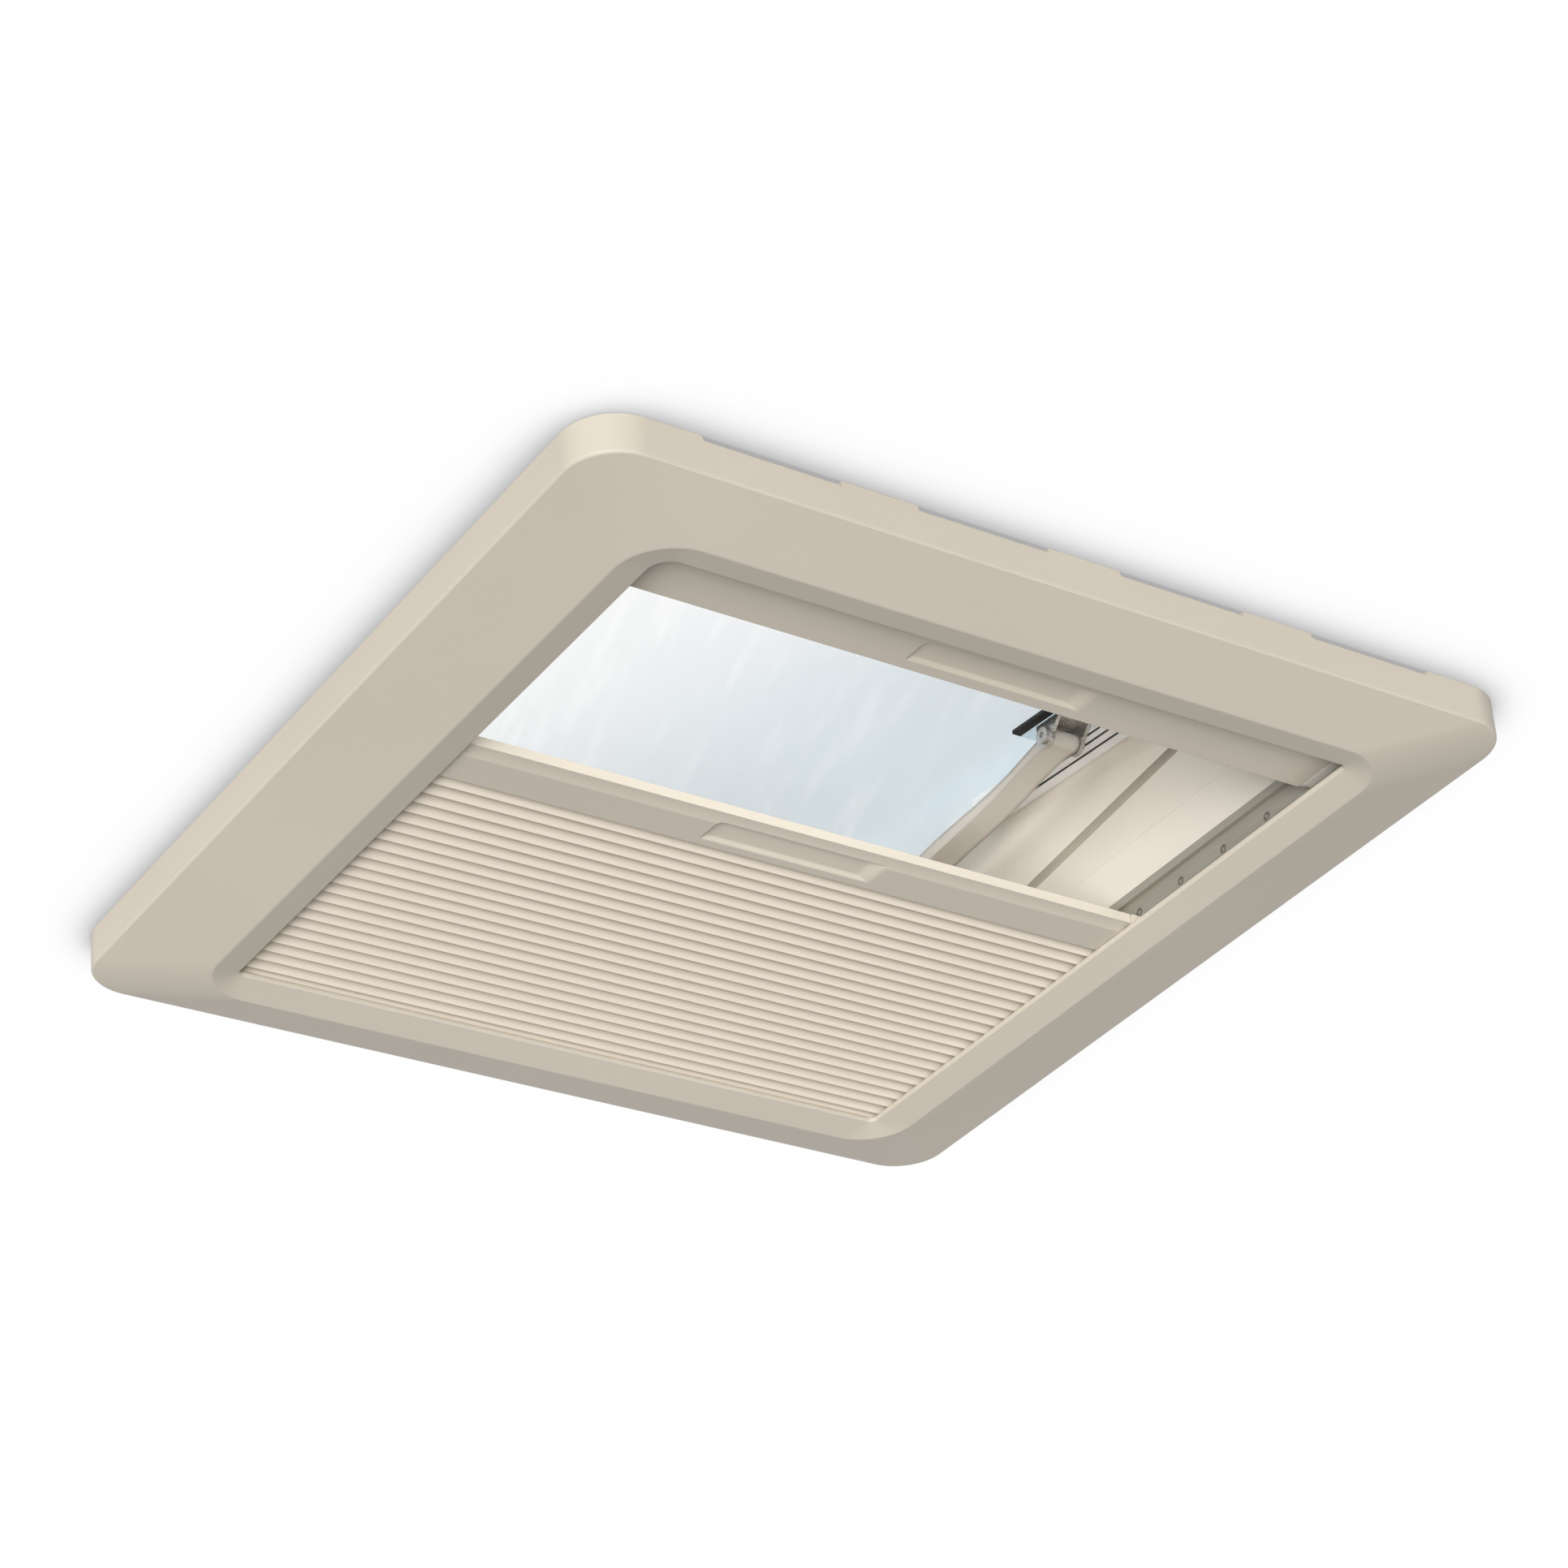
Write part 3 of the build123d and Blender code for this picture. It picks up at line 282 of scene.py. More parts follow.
def pleatCloth(name, look):
    # Close weave on the cloth's own UV map, with painted shade that darkens it down in the folds
    paint = Paint(name, {
        "Sheen Weight": look["sheen"], "Sheen Roughness": look["sheenRough"],
        "Specular IOR Level": look["shine"],
    })
    cloth = paint.node("ShaderNodeUVMap", {"uv_map": "UVMap"})
    u, v, _ = paint.axes(cloth)
    warp = paint.maths("SINE", u * (math.tau * look["warp"]))
    weft = paint.maths("SINE", v * (math.tau * look["weft"]))
    weave = warp * weft
    slub = paint.noise(look["slubScale"], detail=3.0, stretch=look["slubStretch"], where=cloth)
    shade = paint.mixed(paint.ramp(slub, *look["slubSpan"]), look["deep"], look["pale"])
    threads = paint.mixed((weave + 1) * look["threading"], shade, look["thread"])
    # Painted shade: the colour turns to the crease tone deep in each fold
    depth = paint.node("ShaderNodeAttribute", {"attribute_name": "fold"}, out="Fac")
    folded = paint.mixed(paint.ramp(depth, *look["creaseShadeSpan"]), threads, look["crease"])
    rough = slub * look["polish"] + look["roughness"]
    normal = paint.relief(weave + slub, look["weaveDepth"])
    return paint.wear(Base_Color=folded, Roughness=rough, Normal=normal)


clothLook = {
    "pale": tone(238, 227, 211), "deep": tone(233, 222, 206), "thread": tone(218, 206, 190),
    "crease": tone(182, 170, 152), "creaseShadeSpan": (0.1, 1.0), "warp": 420.0, "weft": 420.0,
    "threading": 0.02, "slubScale": 60.0, "slubStretch": (5.0, 0.17, 1.0), "slubSpan": (0.3, 0.75),
    "weaveDepth": 0.006 * mm, "sheen": 0.1, "sheenRough": 0.5, "shine": 0.15, "polish": 0.1,
    "roughness": 0.74,
}


def insectNet(name, look):
    # Fine net: threads both ways are opaque and the holes between them let the view through
    paint = Paint(name, {"Roughness": look["roughness"], "Specular IOR Level": look["shine"]})
    cloth = paint.node("ShaderNodeUVMap", {"uv_map": "UVMap"})
    u, v, _ = paint.axes(cloth)
    threads = [
        paint.ramp(paint.maths("PINGPONG", place * count, 0.5) * 2, *look["threadSpan"])
        for place, count in ((u, look["across"]), (v, look["along"]))
    ]
    net = paint.maths("MAXIMUM", *threads)
    fleck = paint.noise(look["fleckScale"], where=cloth)
    colour = paint.mixed(fleck, look["deep"], look["pale"])
    return paint.wear(Base_Color=colour, Alpha=net * (1 - look["thin"]) + look["thin"])


netLook = {
    "across": 300.0, "along": 300.0, "threadSpan": (0.62, 0.8), "thin": 0.25, "fleckScale": 80.0,
    "deep": tone(58, 58, 60), "pale": tone(78, 78, 80), "roughness": 0.6, "shine": 0.2,
}

finishes = {
    "frame_plastic": mouldedPlastic("framePlastic", frameLook),
    "outer_plastic": mouldedPlastic("outerPlastic", outerLook),
    "bow_plastic": mouldedPlastic("bowPlastic", bowLook),
    "black_plastic": mouldedPlastic("blackPlastic", blackLook),
    "track_alu": brushedMetal("trackAluminium", trackLook),
    "rail_alu": brushedMetal("railAluminium", railLook),
    "steel": brushedMetal("zincSteel", steelLook),
    "seal_rubber": sealRubber("sealRubber", rubberLook),
    "clear_acrylic": acrylic("domeAcrylic", domeLook),
    "clear_pad": acrylic("padAcrylic", padLook),
    "pleat_paper": pleatCloth("pleatCloth", clothLook),
    "mesh_fabric": insectNet("insectNet", netLook),
}
finishOf = {node: finishes[slot] for node, slot in slotOf.items()}
finishOf["pane"] = acrylic("paneAcrylic", paneLook)
finishOf["rail_left"] = brushedMetal("polishedRail", brightLook)
finishOf["rail_right"] = finishOf["rail_left"]
finishOf["slot_liner_left"] = mouldedPlastic("linerPlastic", linerAndShadeLook)
finishOf["slot_liner_right"] = finishOf["slot_liner_left"]
for nodeName, cadNode in cadNodes.items():
    cadNode.data.materials.clear()
    cadNode.data.materials.append(finishOf[nodeName])
print("finishes made,", len(set(finishOf.values())))


def newObject(name, mesh, material):
    made = bpy.data.objects.new(name, mesh)
    bpy.context.scene.collection.objects.link(made)
    mesh.materials.clear()
    mesh.materials.append(material)
    return made


def meshOf(name, points, faces):
    mesh = bpy.data.meshes.new(name)
    mesh.from_pydata([tuple(p) for p in points], [], faces)
    return mesh


def smoothTo(mesh, sharp):
    # Shades smooth over edges up to an angle in degrees
    mesh.shade_smooth()
    mesh.set_sharp_from_angle(angle=math.radians(sharp))


def tidyMesh(mesh, sharp, doubles=0.002 * mm):
    # Merges doubles, turns the faces outwards and shades them
    work = bmesh.new()
    work.from_mesh(mesh)
    bmesh.ops.remove_doubles(work, verts=work.verts, dist=doubles)
    bmesh.ops.recalc_face_normals(work, faces=work.faces)
    work.to_mesh(mesh)
    work.free()
    smoothTo(mesh, sharp)


def applied(made):
    # The object with its modifiers worked into a plain mesh
    graph = bpy.context.evaluated_depsgraph_get()
    mesh = bpy.data.meshes.new_from_object(made.evaluated_get(graph))
    made.modifiers.clear()
    made.data = mesh
    return made


def weighted(made):
    weigh = made.modifiers.new("flatFaces", "WEIGHTED_NORMAL")
    weigh.keep_sharp = True
    return applied(made)


def seat(piece, body, nodeName):
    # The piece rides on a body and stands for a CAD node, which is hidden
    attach(piece, body)
    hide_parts(nodeName)


# Interior trim: rounded rectangles joined from the ceiling down to the lip and into the mouth
trim = {
    "half": 240 * mm, "corner": 25 * mm, "draft": 0.5 * mm, "crease": 18.3 * mm,
    "creaseCorner": 24 * mm, "creaseSoft": 1.5 * mm, "lipX": 195 * mm, "lipY": 205.5 * mm,
    "lipCorner": 27 * mm, "lipDepth": 28.2 * mm, "lipRound": 1.6 * mm, "mouthX": 179.2 * mm,
    "mouthY": 189.6 * mm, "mouthDepth": 24.2 * mm, "slopeRound": 3.3 * mm, "wallRound": 1.9 * mm,
    "bayFloor": 22.2 * mm, "ribX": 193.5 * mm, "ribY": 219 * mm, "ribIn": 191.5 * mm,
    "ribInY": 217 * mm, "ribCorner": 3 * mm, "ribTop": 3.2 * mm, "shell": 2.5 * mm,
    "hollowX": 212.7 * mm, "hollowY": 219.1 * mm, "hollowCorner": 20 * mm, "inset": 4 * mm,
    "insetDepth": 17.3 * mm, "sideDepth": 15.8 * mm, "ventPitch": 103.7 * mm, "ventCount": 4,
    "ventLength": 66 * mm, "ventDepth": 2.3 * mm, "postLine": 226 * mm, "postOffset": 100 * mm,
    "postThick": 1.6 * mm, "postWide": 24 * mm, "postRoot": 20.5 * mm, "postTop": 2.6 * mm,
    "cornerSteps": 20, "roundSteps": 5, "mostBefore": 0.5, "mostAfter": 0.96, "sharp": 40.0,
}
# The mouth's corners, from the one at +X -Y anticlockwise; the one at -X -Y is rounder
mouthCorners = (3 * mm, 3 * mm, 3 * mm, 10 * mm)
# How the vents' ends curve: distance along the edge in millimetres and share of the depth
ventCurve = ((0.0, 0.0), (0.0, 0.6), (0.25, 0.86), (0.8, 1.0))


def rowVector(row):
    corners = row[3] if isinstance(row[3], tuple) else (row[3],) * 4
    return Vector((row[0], row[1], row[2], *corners))


def roundedRows(rows):
    # Rows are half width, half length, height and corners, with the rounding before and after
    out = []
    for i, row in enumerate(rows):
        here = rowVector(row)
        before, after = row[4:]
        if not before:
            out.append(here)
            continue
        back = rowVector(rows[i - 1]) - here
        ahead = rowVector(rows[(i + 1) % len(rows)]) - here
        start = here + back * min(trim["mostBefore"], before / back.length)
        end = here + ahead * min(trim["mostAfter"], after / ahead.length)
        for step in range(trim["roundSteps"] + 1):
            t = step / trim["roundSteps"]
            out.append(start * (1 - t) ** 2 + here * 2 * t * (1 - t) + end * t ** 2)
    return out


def ringPoints(row, stops):
    # One rounded rectangle, with stops along its two Y sides where the height may rise by a dip
    halfX, halfY, height, *corners = row
    points = []
    for quarter, corner in enumerate(corners):
        turn = quarter * math.pi / 2 - math.pi / 2
        signX = 1 if quarter in (0, 1) else -1
        signY = 1 if quarter in (1, 2) else -1
        for step in range(trim["cornerSteps"] + 1):
            angle = turn + step / trim["cornerSteps"] * math.pi / 2
            points.append((
                signX * (halfX - corner) + corner * math.cos(angle),
                signY * (halfY - corner) + corner * math.sin(angle), height,
            ))
        if quarter in (1, 3):
            side, left, right = (1, 2, 1) if quarter == 1 else (-1, 3, 0)
            low, high = corners[left] - halfX, halfX - corners[right]
            ordered = stops if side < 0 else tuple(reversed(stops))
            points += [(max(low, min(high, x)), side * halfY, height + dip) for x, dip in ordered]
    return points


def joinRings(name, rings):
    count = len(rings[0])
    points = [p for ring in rings for p in ring]
    faces = []
    for i in range(len(rings)):
        low, high = i * count, (i + 1) % len(rings) * count
        for j in range(count):
            k = (j + 1) % count
            faces.append((low + j, low + k, high + k, high + j))
    return meshOf(name, points, faces)


def ventStops(depth):
    stops = []
    for i in range(trim["ventCount"]):
        middle = (i - (trim["ventCount"] - 1) / 2) * trim["ventPitch"]
        reach = trim["ventLength"] / 2
        stops += [(middle - reach + along * mm, depth * share) for along, share in ventCurve]
        stops += [(middle + reach - along * mm, depth * share) for along, share in reversed(ventCurve)]
    return tuple(stops)


def addBlock(work, middle, size):
    # A box, centred in its middle, joined to a mesh being built
    made = bmesh.ops.create_cube(work, size=1.0)["verts"]
    bmesh.ops.scale(work, vec=Vector(size), verts=made)
    bmesh.ops.translate(work, vec=Vector(middle), verts=made)


def makeTrim():
    t = trim
    inner = t["half"] - t["shell"]
    outerCrease = t["half"] - t["draft"]
    rows = [
        (t["half"], t["half"], 0, t["corner"], 0, 0),
        (outerCrease, outerCrease, -t["crease"], t["creaseCorner"], t["creaseSoft"], t["creaseSoft"]),
        (t["lipX"], t["lipY"], -t["lipDepth"], t["lipCorner"], t["lipRound"], t["lipRound"]),
        (t["mouthX"], t["mouthY"], -t["mouthDepth"], mouthCorners, t["slopeRound"], t["wallRound"]),
        (t["mouthX"], t["mouthY"], -t["bayFloor"], mouthCorners, 0, 0),
        (t["ribIn"], t["ribInY"], -t["bayFloor"], t["ribCorner"] / 2, 0, 0),
        (t["ribIn"], t["ribInY"], -t["ribTop"], t["ribCorner"] / 2, 0, 0),
        (t["ribX"], t["ribY"], -t["ribTop"], t["ribCorner"], 0, 0),
        (t["ribX"], t["ribY"], -t["bayFloor"], t["ribCorner"], 0, 0),
        (t["hollowX"], t["hollowY"], -t["bayFloor"], t["hollowCorner"], 0, 0),
        (inner - t["inset"], inner - t["inset"], -t["insetDepth"], t["creaseCorner"], 0, 0),
        (inner - t["draft"], inner - t["draft"], -t["sideDepth"], t["creaseCorner"], 0, 0),
        (inner, inner, 0, t["corner"] - t["shell"], 0, 0),
    ]
    # Only the edges at the ceiling are notched by the vents
    notched, plain = ventStops(-t["ventDepth"]), ventStops(0.0)
    rings = [ringPoints(row, plain if row[2] else notched) for row in roundedRows(rows)]
    mesh = joinRings("interiorTrim", rings)
    tidyMesh(mesh, t["sharp"])
    work = bmesh.new()
    work.from_mesh(mesh)
    middle = (t["postTop"] + t["postRoot"]) / -2
    tall = t["postRoot"] - t["postTop"]
    for offset in (-t["postOffset"], t["postOffset"]):
        for line in (-t["postLine"], t["postLine"]):
            addBlock(work, (line, offset, middle), (t["postThick"], t["postWide"], tall))
            addBlock(work, (offset, line, middle), (t["postWide"], t["postThick"], tall))
    work.to_mesh(mesh)
    work.free()
    seat(weighted(newObject("interiorTrim", mesh, finishOf["interior_frame"])), "root", "interior_frame")


makeTrim()
print("interior trim made")

# Pull bars: the underside is a field of heights with a finger scoop pressed into it, and the walls
# are straight. The set-back is how far the front wall stands behind the CAD bar's foremost edge
scoop = {
    "halfX": 46.15 * mm, "halfY": 7.65 * mm, "depth": 3.2 * mm, "steep": 1.1 * mm, "ramp": 9 * mm,
    "light": 1.3 * mm, "tilt": 0.4, "corner": 4 * mm, "margin": 1 * mm,
}
bars = {
    "blind_bar": {
        "name": "blindBar", "body": "blind", "middle": (-0.7 * mm, -14.95 * mm), "facet": 10 * mm,
        "rise": 1.3 * mm, "setBack": 1.9 * mm,
    },
    "screen_bar": {
        "name": "screenBar", "body": "screen", "middle": (7 * mm, -169.15 * mm), "facet": 10 * mm,
        "rise": 0.0, "setBack": 0.0,
    },
}
barGrid = {"fine": 0.45 * mm, "coarse": 20 * mm, "gap": 0.35 * mm, "sharp": 50.0}


def eased(share):
    held = max(0.0, min(1.0, share))
    return held * held * (3 - 2 * held)


def scoopShare(x, y):
    # 0 outside the scoop and 1 on its floor, for a place measured from its middle
    left, front = x + scoop["halfX"], y + scoop["halfY"]
    inward = min(left, front)
    corner = scoop["corner"]
    if left < corner and front < corner:
        inward = corner - math.hypot(corner - left, corner - front)
    walls = min(
        eased(inward / scoop["steep"]), eased((scoop["halfX"] - x) / scoop["ramp"]),
        eased((scoop["halfY"] - y) / scoop["light"]),
    )
    return walls * (1 - scoop["tilt"] * front / scoop["halfY"] / 2)


def facetRise(share):
    # 0 on the flat face, growing to 1 at the front along a hollow curve
    return share * (2 - share) if share > 0 else 0.0


def placesAlong(start, *legs):
    # Places along a line; each leg gives its end and the widest step up to it
    places = [start]
    for end, widest in legs:
        begin = places[-1]
        count = max(1, math.ceil((end - begin) / widest))
        places += [begin + (end - begin) * (i + 1) / count for i in range(count)]
    return places


def makeBar(nodeName, look):
    low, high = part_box(nodeName)
    gap, fine, coarse = barGrid["gap"], barGrid["fine"], barGrid["coarse"]
    middleX, middleY = look["middle"]
    reach = scoop["halfX"] + scoop["margin"]
    xs = placesAlong(
        low.x + gap, (middleX - reach, coarse), (middleX + reach, fine), (high.x - gap, coarse),
    )
    ys = placesAlong(low.y + look["setBack"] + gap, (high.y - gap, fine))
    points = []
    for y in ys:
        rise = look["rise"] * facetRise((low.y + look["facet"] - y) / (look["facet"] - look["setBack"]))
        for x in xs:
            share = scoopShare(x - middleX, y - middleY)
            points.append((x, y, low.z + rise * (1 - share) + scoop["depth"] * share))
    wide, deep = len(xs), len(ys)
    faces = [
        (j * wide + i, (j + 1) * wide + i, (j + 1) * wide + i + 1, j * wide + i + 1)
        for j in range(deep - 1) for i in range(wide - 1)
    ]
    rim = list(range(wide)) + [j * wide + wide - 1 for j in range(1, deep)]
    rim += [(deep - 1) * wide + i for i in range(wide - 2, -1, -1)]
    rim += [j * wide for j in range(deep - 2, 0, -1)]
    top = list(range(len(points), len(points) + len(rim)))
    points += [(points[i][0], points[i][1], high.z) for i in rim]
    for k, i in enumerate(rim):
        n = (k + 1) % len(rim)
        faces.append((i, rim[n], top[n], top[k]))
    faces.append(tuple(top))
    mesh = meshOf(look["name"], points, faces)
    tidyMesh(mesh, barGrid["sharp"])
    seat(weighted(newObject(look["name"], mesh, finishOf[nodeName])), look["body"], nodeName)


for nodeName, look in bars.items():
    makeBar(nodeName, look)
print("pull bars made")

# Hard parts: how their copies are merged, flattened, shaded and rounded, with angles in degrees
softening = {"doubles": 0.005 * mm, "flat": 0.5, "sharp": 35.0, "rounded": 25.0, "segments": 4}


def softened(name, nodeName, width):
    # A CAD node's merged copy, smooth on its curves and with its sharp edges rounded
    mesh = cadNodes[nodeName].data.copy()
    work = bmesh.new()
    work.from_mesh(mesh)
    bmesh.ops.remove_doubles(work, verts=work.verts, dist=softening["doubles"])
    if width:
        bmesh.ops.dissolve_limit(
            work, angle_limit=math.radians(softening["flat"]), verts=work.verts, edges=work.edges,
        )
    work.to_mesh(mesh)
    work.free()
    smoothTo(mesh, softening["sharp"])
    made = newObject(name, mesh, finishOf[nodeName])
    if width:
        edges = made.modifiers.new("roundedEdges", "BEVEL")
        edges.width = width
        edges.segments = softening["segments"]
        edges.limit_method = "ANGLE"
        edges.angle_limit = math.radians(softening["rounded"])
        edges.use_clamp_overlap = True
    return weighted(made)


# Piece name, body and the rounding's width for each copied node
softParts = {
    "bow": ("bowArms", "bow", 0.0), "catch": ("handleCatch", "root", 0.5 * mm),
    "dome": ("domeShell", "dome", 0.0), "pane": ("innerPane", "dome", 0.0),
    "outer_frame": ("outerFrame", "root", 0.0), "lining": ("wellLining", "root", 0.0),
}
# The walls' slots are in the liner's plastic, whose darker tone is partly painted shade for the inside
# of the slots, and a painted band edges the foot of the lining
slotBand = {"near": 187.7 * mm, "far": 191.75 * mm, "half": 3.05 * mm}
footBand = {"top": 1.2 * mm, "wall": 186.9 * mm}


def middleOf(nodeName):
    low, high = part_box(nodeName)
    return (low + high) / 2


hingeMiddle, axleMiddle = middleOf("hinge_pins"), middleOf("bow_axles")
slotSlope = (axleMiddle.z - hingeMiddle.z) / (axleMiddle.y - hingeMiddle.y)


def inSlot(face):
    # The slots lie on the line from the hinge to the bow's axles
    x, y, z = face.center
    off = abs(z - hingeMiddle.z - slotSlope * (y - hingeMiddle.y))
    return slotBand["near"] < abs(x) < slotBand["far"] and off < slotBand["half"]


def inFoot(face):
    return face.center.z < footBand["top"] and abs(face.center.x) > footBand["wall"]


secondCoats = {
    "outerFrame": (finishOf["slot_liner_left"], inSlot), "wellLining": (finishes["track_alu"], inFoot),
}


def recoated(made, material, chosen):
    made.data.materials.append(material)
    for face in made.data.polygons:
        if chosen(face):
            face.material_index = 1


def cutAcross(mesh, *planes):
    # Adds lines of edges where planes cross a mesh; a plane's point is also its normal
    work = bmesh.new()
    work.from_mesh(mesh)
    for point in planes:
        everything = [*work.verts, *work.edges, *work.faces]
        normal = Vector(point).normalized()
        bmesh.ops.bisect_plane(work, geom=everything, plane_co=point, plane_no=normal)
    work.to_mesh(mesh)
    work.free()


for nodeName, (pieceName, body, width) in softParts.items():
    piece = softened(pieceName, nodeName, width)
    if nodeName == "lining":
        wall = footBand["wall"]
        cutAcross(piece.data, (0, 0, footBand["top"]), (wall, 0, 0), (-wall, 0, 0))
    if pieceName in secondCoats:
        recoated(piece, *secondCoats[pieceName])
    seat(piece, body, nodeName)
print("hard parts made,", len(softParts))

# The lock button's coil is pressed together between its pocket in the bow and the button
coil = softened("buttonCoil", "button_spring", 0.0)
low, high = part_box("button_spring")
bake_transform(coil)
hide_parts("button_spring")
print("button coil made")


class Grower(Graph):
    # A Geometry Nodes tree with named inputs, whose last nodes realize and set the material
    def __init__(self, name, inputs):
        super().__init__(bpy.data.node_groups.new(name, "GeometryNodeTree"))
        face = self.tree.interface
        self.sockets = {
            label: face.new_socket(label, in_out="INPUT", socket_type="NodeSocket" + kind)
            for label, kind in inputs.items()
        }
        face.new_socket("Geometry", in_out="OUTPUT", socket_type="NodeSocketGeometry")
        entry = self.node("NodeGroupInput")
        self.given = {label: entry.also(label) for label in inputs}

    def close(self, geometry):
        realized = self.node("GeometryNodeRealizeInstances", {}, {"Geometry": geometry})
        painted = self.node(
            "GeometryNodeSetMaterial", {}, {"Geometry": realized, "Material": self.given["Material"]},
        )
        self.node("NodeGroupOutput", {}, {0: painted})

    def grow(self, name, values):
        made = newObject(name, bpy.data.meshes.new(name), values["Material"])
        modifier = made.modifiers.new("grow", "NODES")
        modifier.node_group = self.tree
        for label, value in values.items():
            modifier[self.sockets[label].identifier] = value
        return applied(made)


# Guide screws: small dished heads, flush with the plates, repeated along both guides
screw = {
    "sides": 14, "sharp": 50.0, "profile": (
        (0.0, 1.5), (0.9, 1.45), (1.4, 1.1), (1.55, 0.06), (1.7, 0.0), (2.3, 0.03), (2.4, 0.12),
        (1.2, 1.3), (1.2, 3.6), (0.0, 3.6),
    ),
}
screwRows = {"Count": 9, "Pitch": 32.5 * mm, "Shift": 7 * mm, "Plate": 189.5 * mm, "Height": -10.5 * mm}


def lathed(name, look):
    # A profile of radius and depth in millimetres, turned about X with its depth towards +X
    sides = look["sides"]
    rings = []
    for radius, depth in look["profile"]:
        turns = [k / sides * math.tau for k in range(sides)] if radius else [0.0]
        rings.append([(depth * mm, radius * mm * math.cos(a), radius * mm * math.sin(a)) for a in turns])
    points = [p for ring in rings for p in ring]
    starts = [sum(len(ring) for ring in rings[:i]) for i in range(len(rings))]
    faces = []
    for i in range(len(rings) - 1):
        for k in range(sides):
            n = (k + 1) % sides
            near = [starts[i] + k % len(rings[i]), starts[i] + n % len(rings[i])]
            far = [starts[i + 1] + n % len(rings[i + 1]), starts[i + 1] + k % len(rings[i + 1])]
            faces.append(tuple(dict.fromkeys(near + far)))
    mesh = meshOf(name, points, faces)
    tidyMesh(mesh, look["sharp"])
    return mesh


def screwTree(name):
    grower = Grower(name, {
        "Screw": "Object", "Count": "Int", "Pitch": "Float", "Shift": "Float", "Plate": "Float",
        "Height": "Float", "Seed": "Int", "Material": "Material",
    })
    given = grower.given
    begin = grower.node("ShaderNodeCombineXYZ", {}, {
        "X": given["Plate"], "Y": given["Shift"] - (given["Count"] - 1) * given["Pitch"] / 2,
        "Z": given["Height"],
    })
    step = grower.node("ShaderNodeCombineXYZ", {}, {"Y": given["Pitch"]})
    row = grower.node("GeometryNodeMeshLine", {}, {
        "Count": given["Count"], "Start Location": begin, "Offset": step,
    })
    shape = grower.node("GeometryNodeObjectInfo", {}, {"Object": given["Screw"]}, out="Geometry")
    turn = grower.node("FunctionNodeRandomValue", {"data_type": "FLOAT"}, {
        2: 0.0, 3: math.tau, "Seed": given["Seed"],
    }, out=1)
    turned = grower.node("ShaderNodeCombineXYZ", {}, {"X": turn})
    rotation = grower.node("FunctionNodeEulerToRotation", {}, {0: turned})
    placed = grower.node("GeometryNodeInstanceOnPoints", {}, {
        "Points": row, "Instance": shape, "Rotation": rotation,
    })
    back = grower.node("ShaderNodeCombineXYZ", {}, {"Y": given["Shift"] * 2})
    across = grower.node("GeometryNodeTransform", {}, {
        "Geometry": placed, "Translation": back, "Rotation": (0, 0, math.pi),
    })
    both = grower.node("GeometryNodeJoinGeometry")
    for side in (placed, across):
        grower.feed(both.socket.node.inputs[0], side)
    grower.close(both)
    return grower


# The screws' plating is darker than the plates: painted shade that stands for the dark recesses in their
# heads
shadedPlatingLook = dict(trackLook, pale=tone(124, 119, 108), deep=tone(106, 101, 91), edge=0.05 * mm)
screwModel = newObject("screwModel", lathed("screwModel", screw), finishes["steel"])
guideScrews = screwTree("guideScrewTree").grow("guideScrews", dict(
    screwRows, Screw=screwModel, Seed=4, Material=brushedMetal("screwPlating", shadedPlatingLook),
))
bpy.data.objects.remove(screwModel)
seat(guideScrews, "root", "guide_screws")
print("guide screws made")

# Pleated blind and insect screen: one folded sheet each, creased by the tree
pleatInputs = {
    "Width": "Float", "Start": "Float", "End": "Float", "Pleats": "Int", "Low": "Float",
    "Rise": "Float", "Stack": "Float", "Material": "Material",
}
pleat = {
    "steps": 10, "tip": 0.9, "hang": 1.3, "columns": 25, "trim": 0.2 * mm, "stackFrom": 0.8,
    "sharp": 40.0,
}


def pleatTree(name, spread):
    # Each pleat falls slowly from its crease to its tip, then returns steeply
    grower = Grower(name, pleatInputs)
    given = grower.given
    grid = grower.node("GeometryNodeMeshGrid", {}, {
        "Size X": given["Width"], "Size Y": 1.0, "Vertices X": pleat["columns"],
        "Vertices Y": given["Pleats"] * pleat["steps"] + 1,
    })
    mapped = grower.node(
        "GeometryNodeStoreNamedAttribute", {"data_type": "FLOAT2", "domain": "CORNER"},
        {"Geometry": grid, "Name": "UVMap", "Value": grid.also("UV Map")},
    )
    x, y, _ = grower.axes(grower.node("GeometryNodeInputPosition"))
    along = y + 0.5
    steps = grower.maths("ROUND", along * given["Pleats"] * pleat["steps"])
    phase = grower.maths("MODULO", steps, pleat["steps"]) / pleat["steps"]
    fall = 1 - grower.maths("MINIMUM", phase / pleat["tip"], 1.0) ** pleat["hang"]
    kept = grower.node(
        "GeometryNodeStoreNamedAttribute", {"data_type": "FLOAT", "domain": "POINT"},
        {"Geometry": mapped, "Name": "fold", "Value": fall},
    )
    newY = given["Start"] + (given["End"] - given["Start"]) * spread(grower, along, given)
    newZ = given["Low"] + given["Rise"] * fall
    place = grower.node("ShaderNodeCombineXYZ", {}, {"X": x, "Y": newY, "Z": newZ})
    moved = grower.node("GeometryNodeSetPosition", {}, {"Geometry": kept, "Position": place})
    grower.close(moved)
    return grower


def blindSpread(grower, along, given):
    # Even pleats up to the stack at the fixed end, where they are packed close
    openShare = 1 - given["Stack"]
    bend = pleat["stackFrom"]
    packed = grower.maths("MAXIMUM", along - bend, 0.0)
    return along / bend * openShare - packed * (openShare / bend - given["Stack"] / (1 - bend))


def screenSpread(grower, along, given):
    # The inverse of a smooth step, so that the pleats come out even when the screen is drawn across
    return 0.5 - grower.maths("SINE", grower.maths("ARCSINE", 1 - along * 2) / 3)


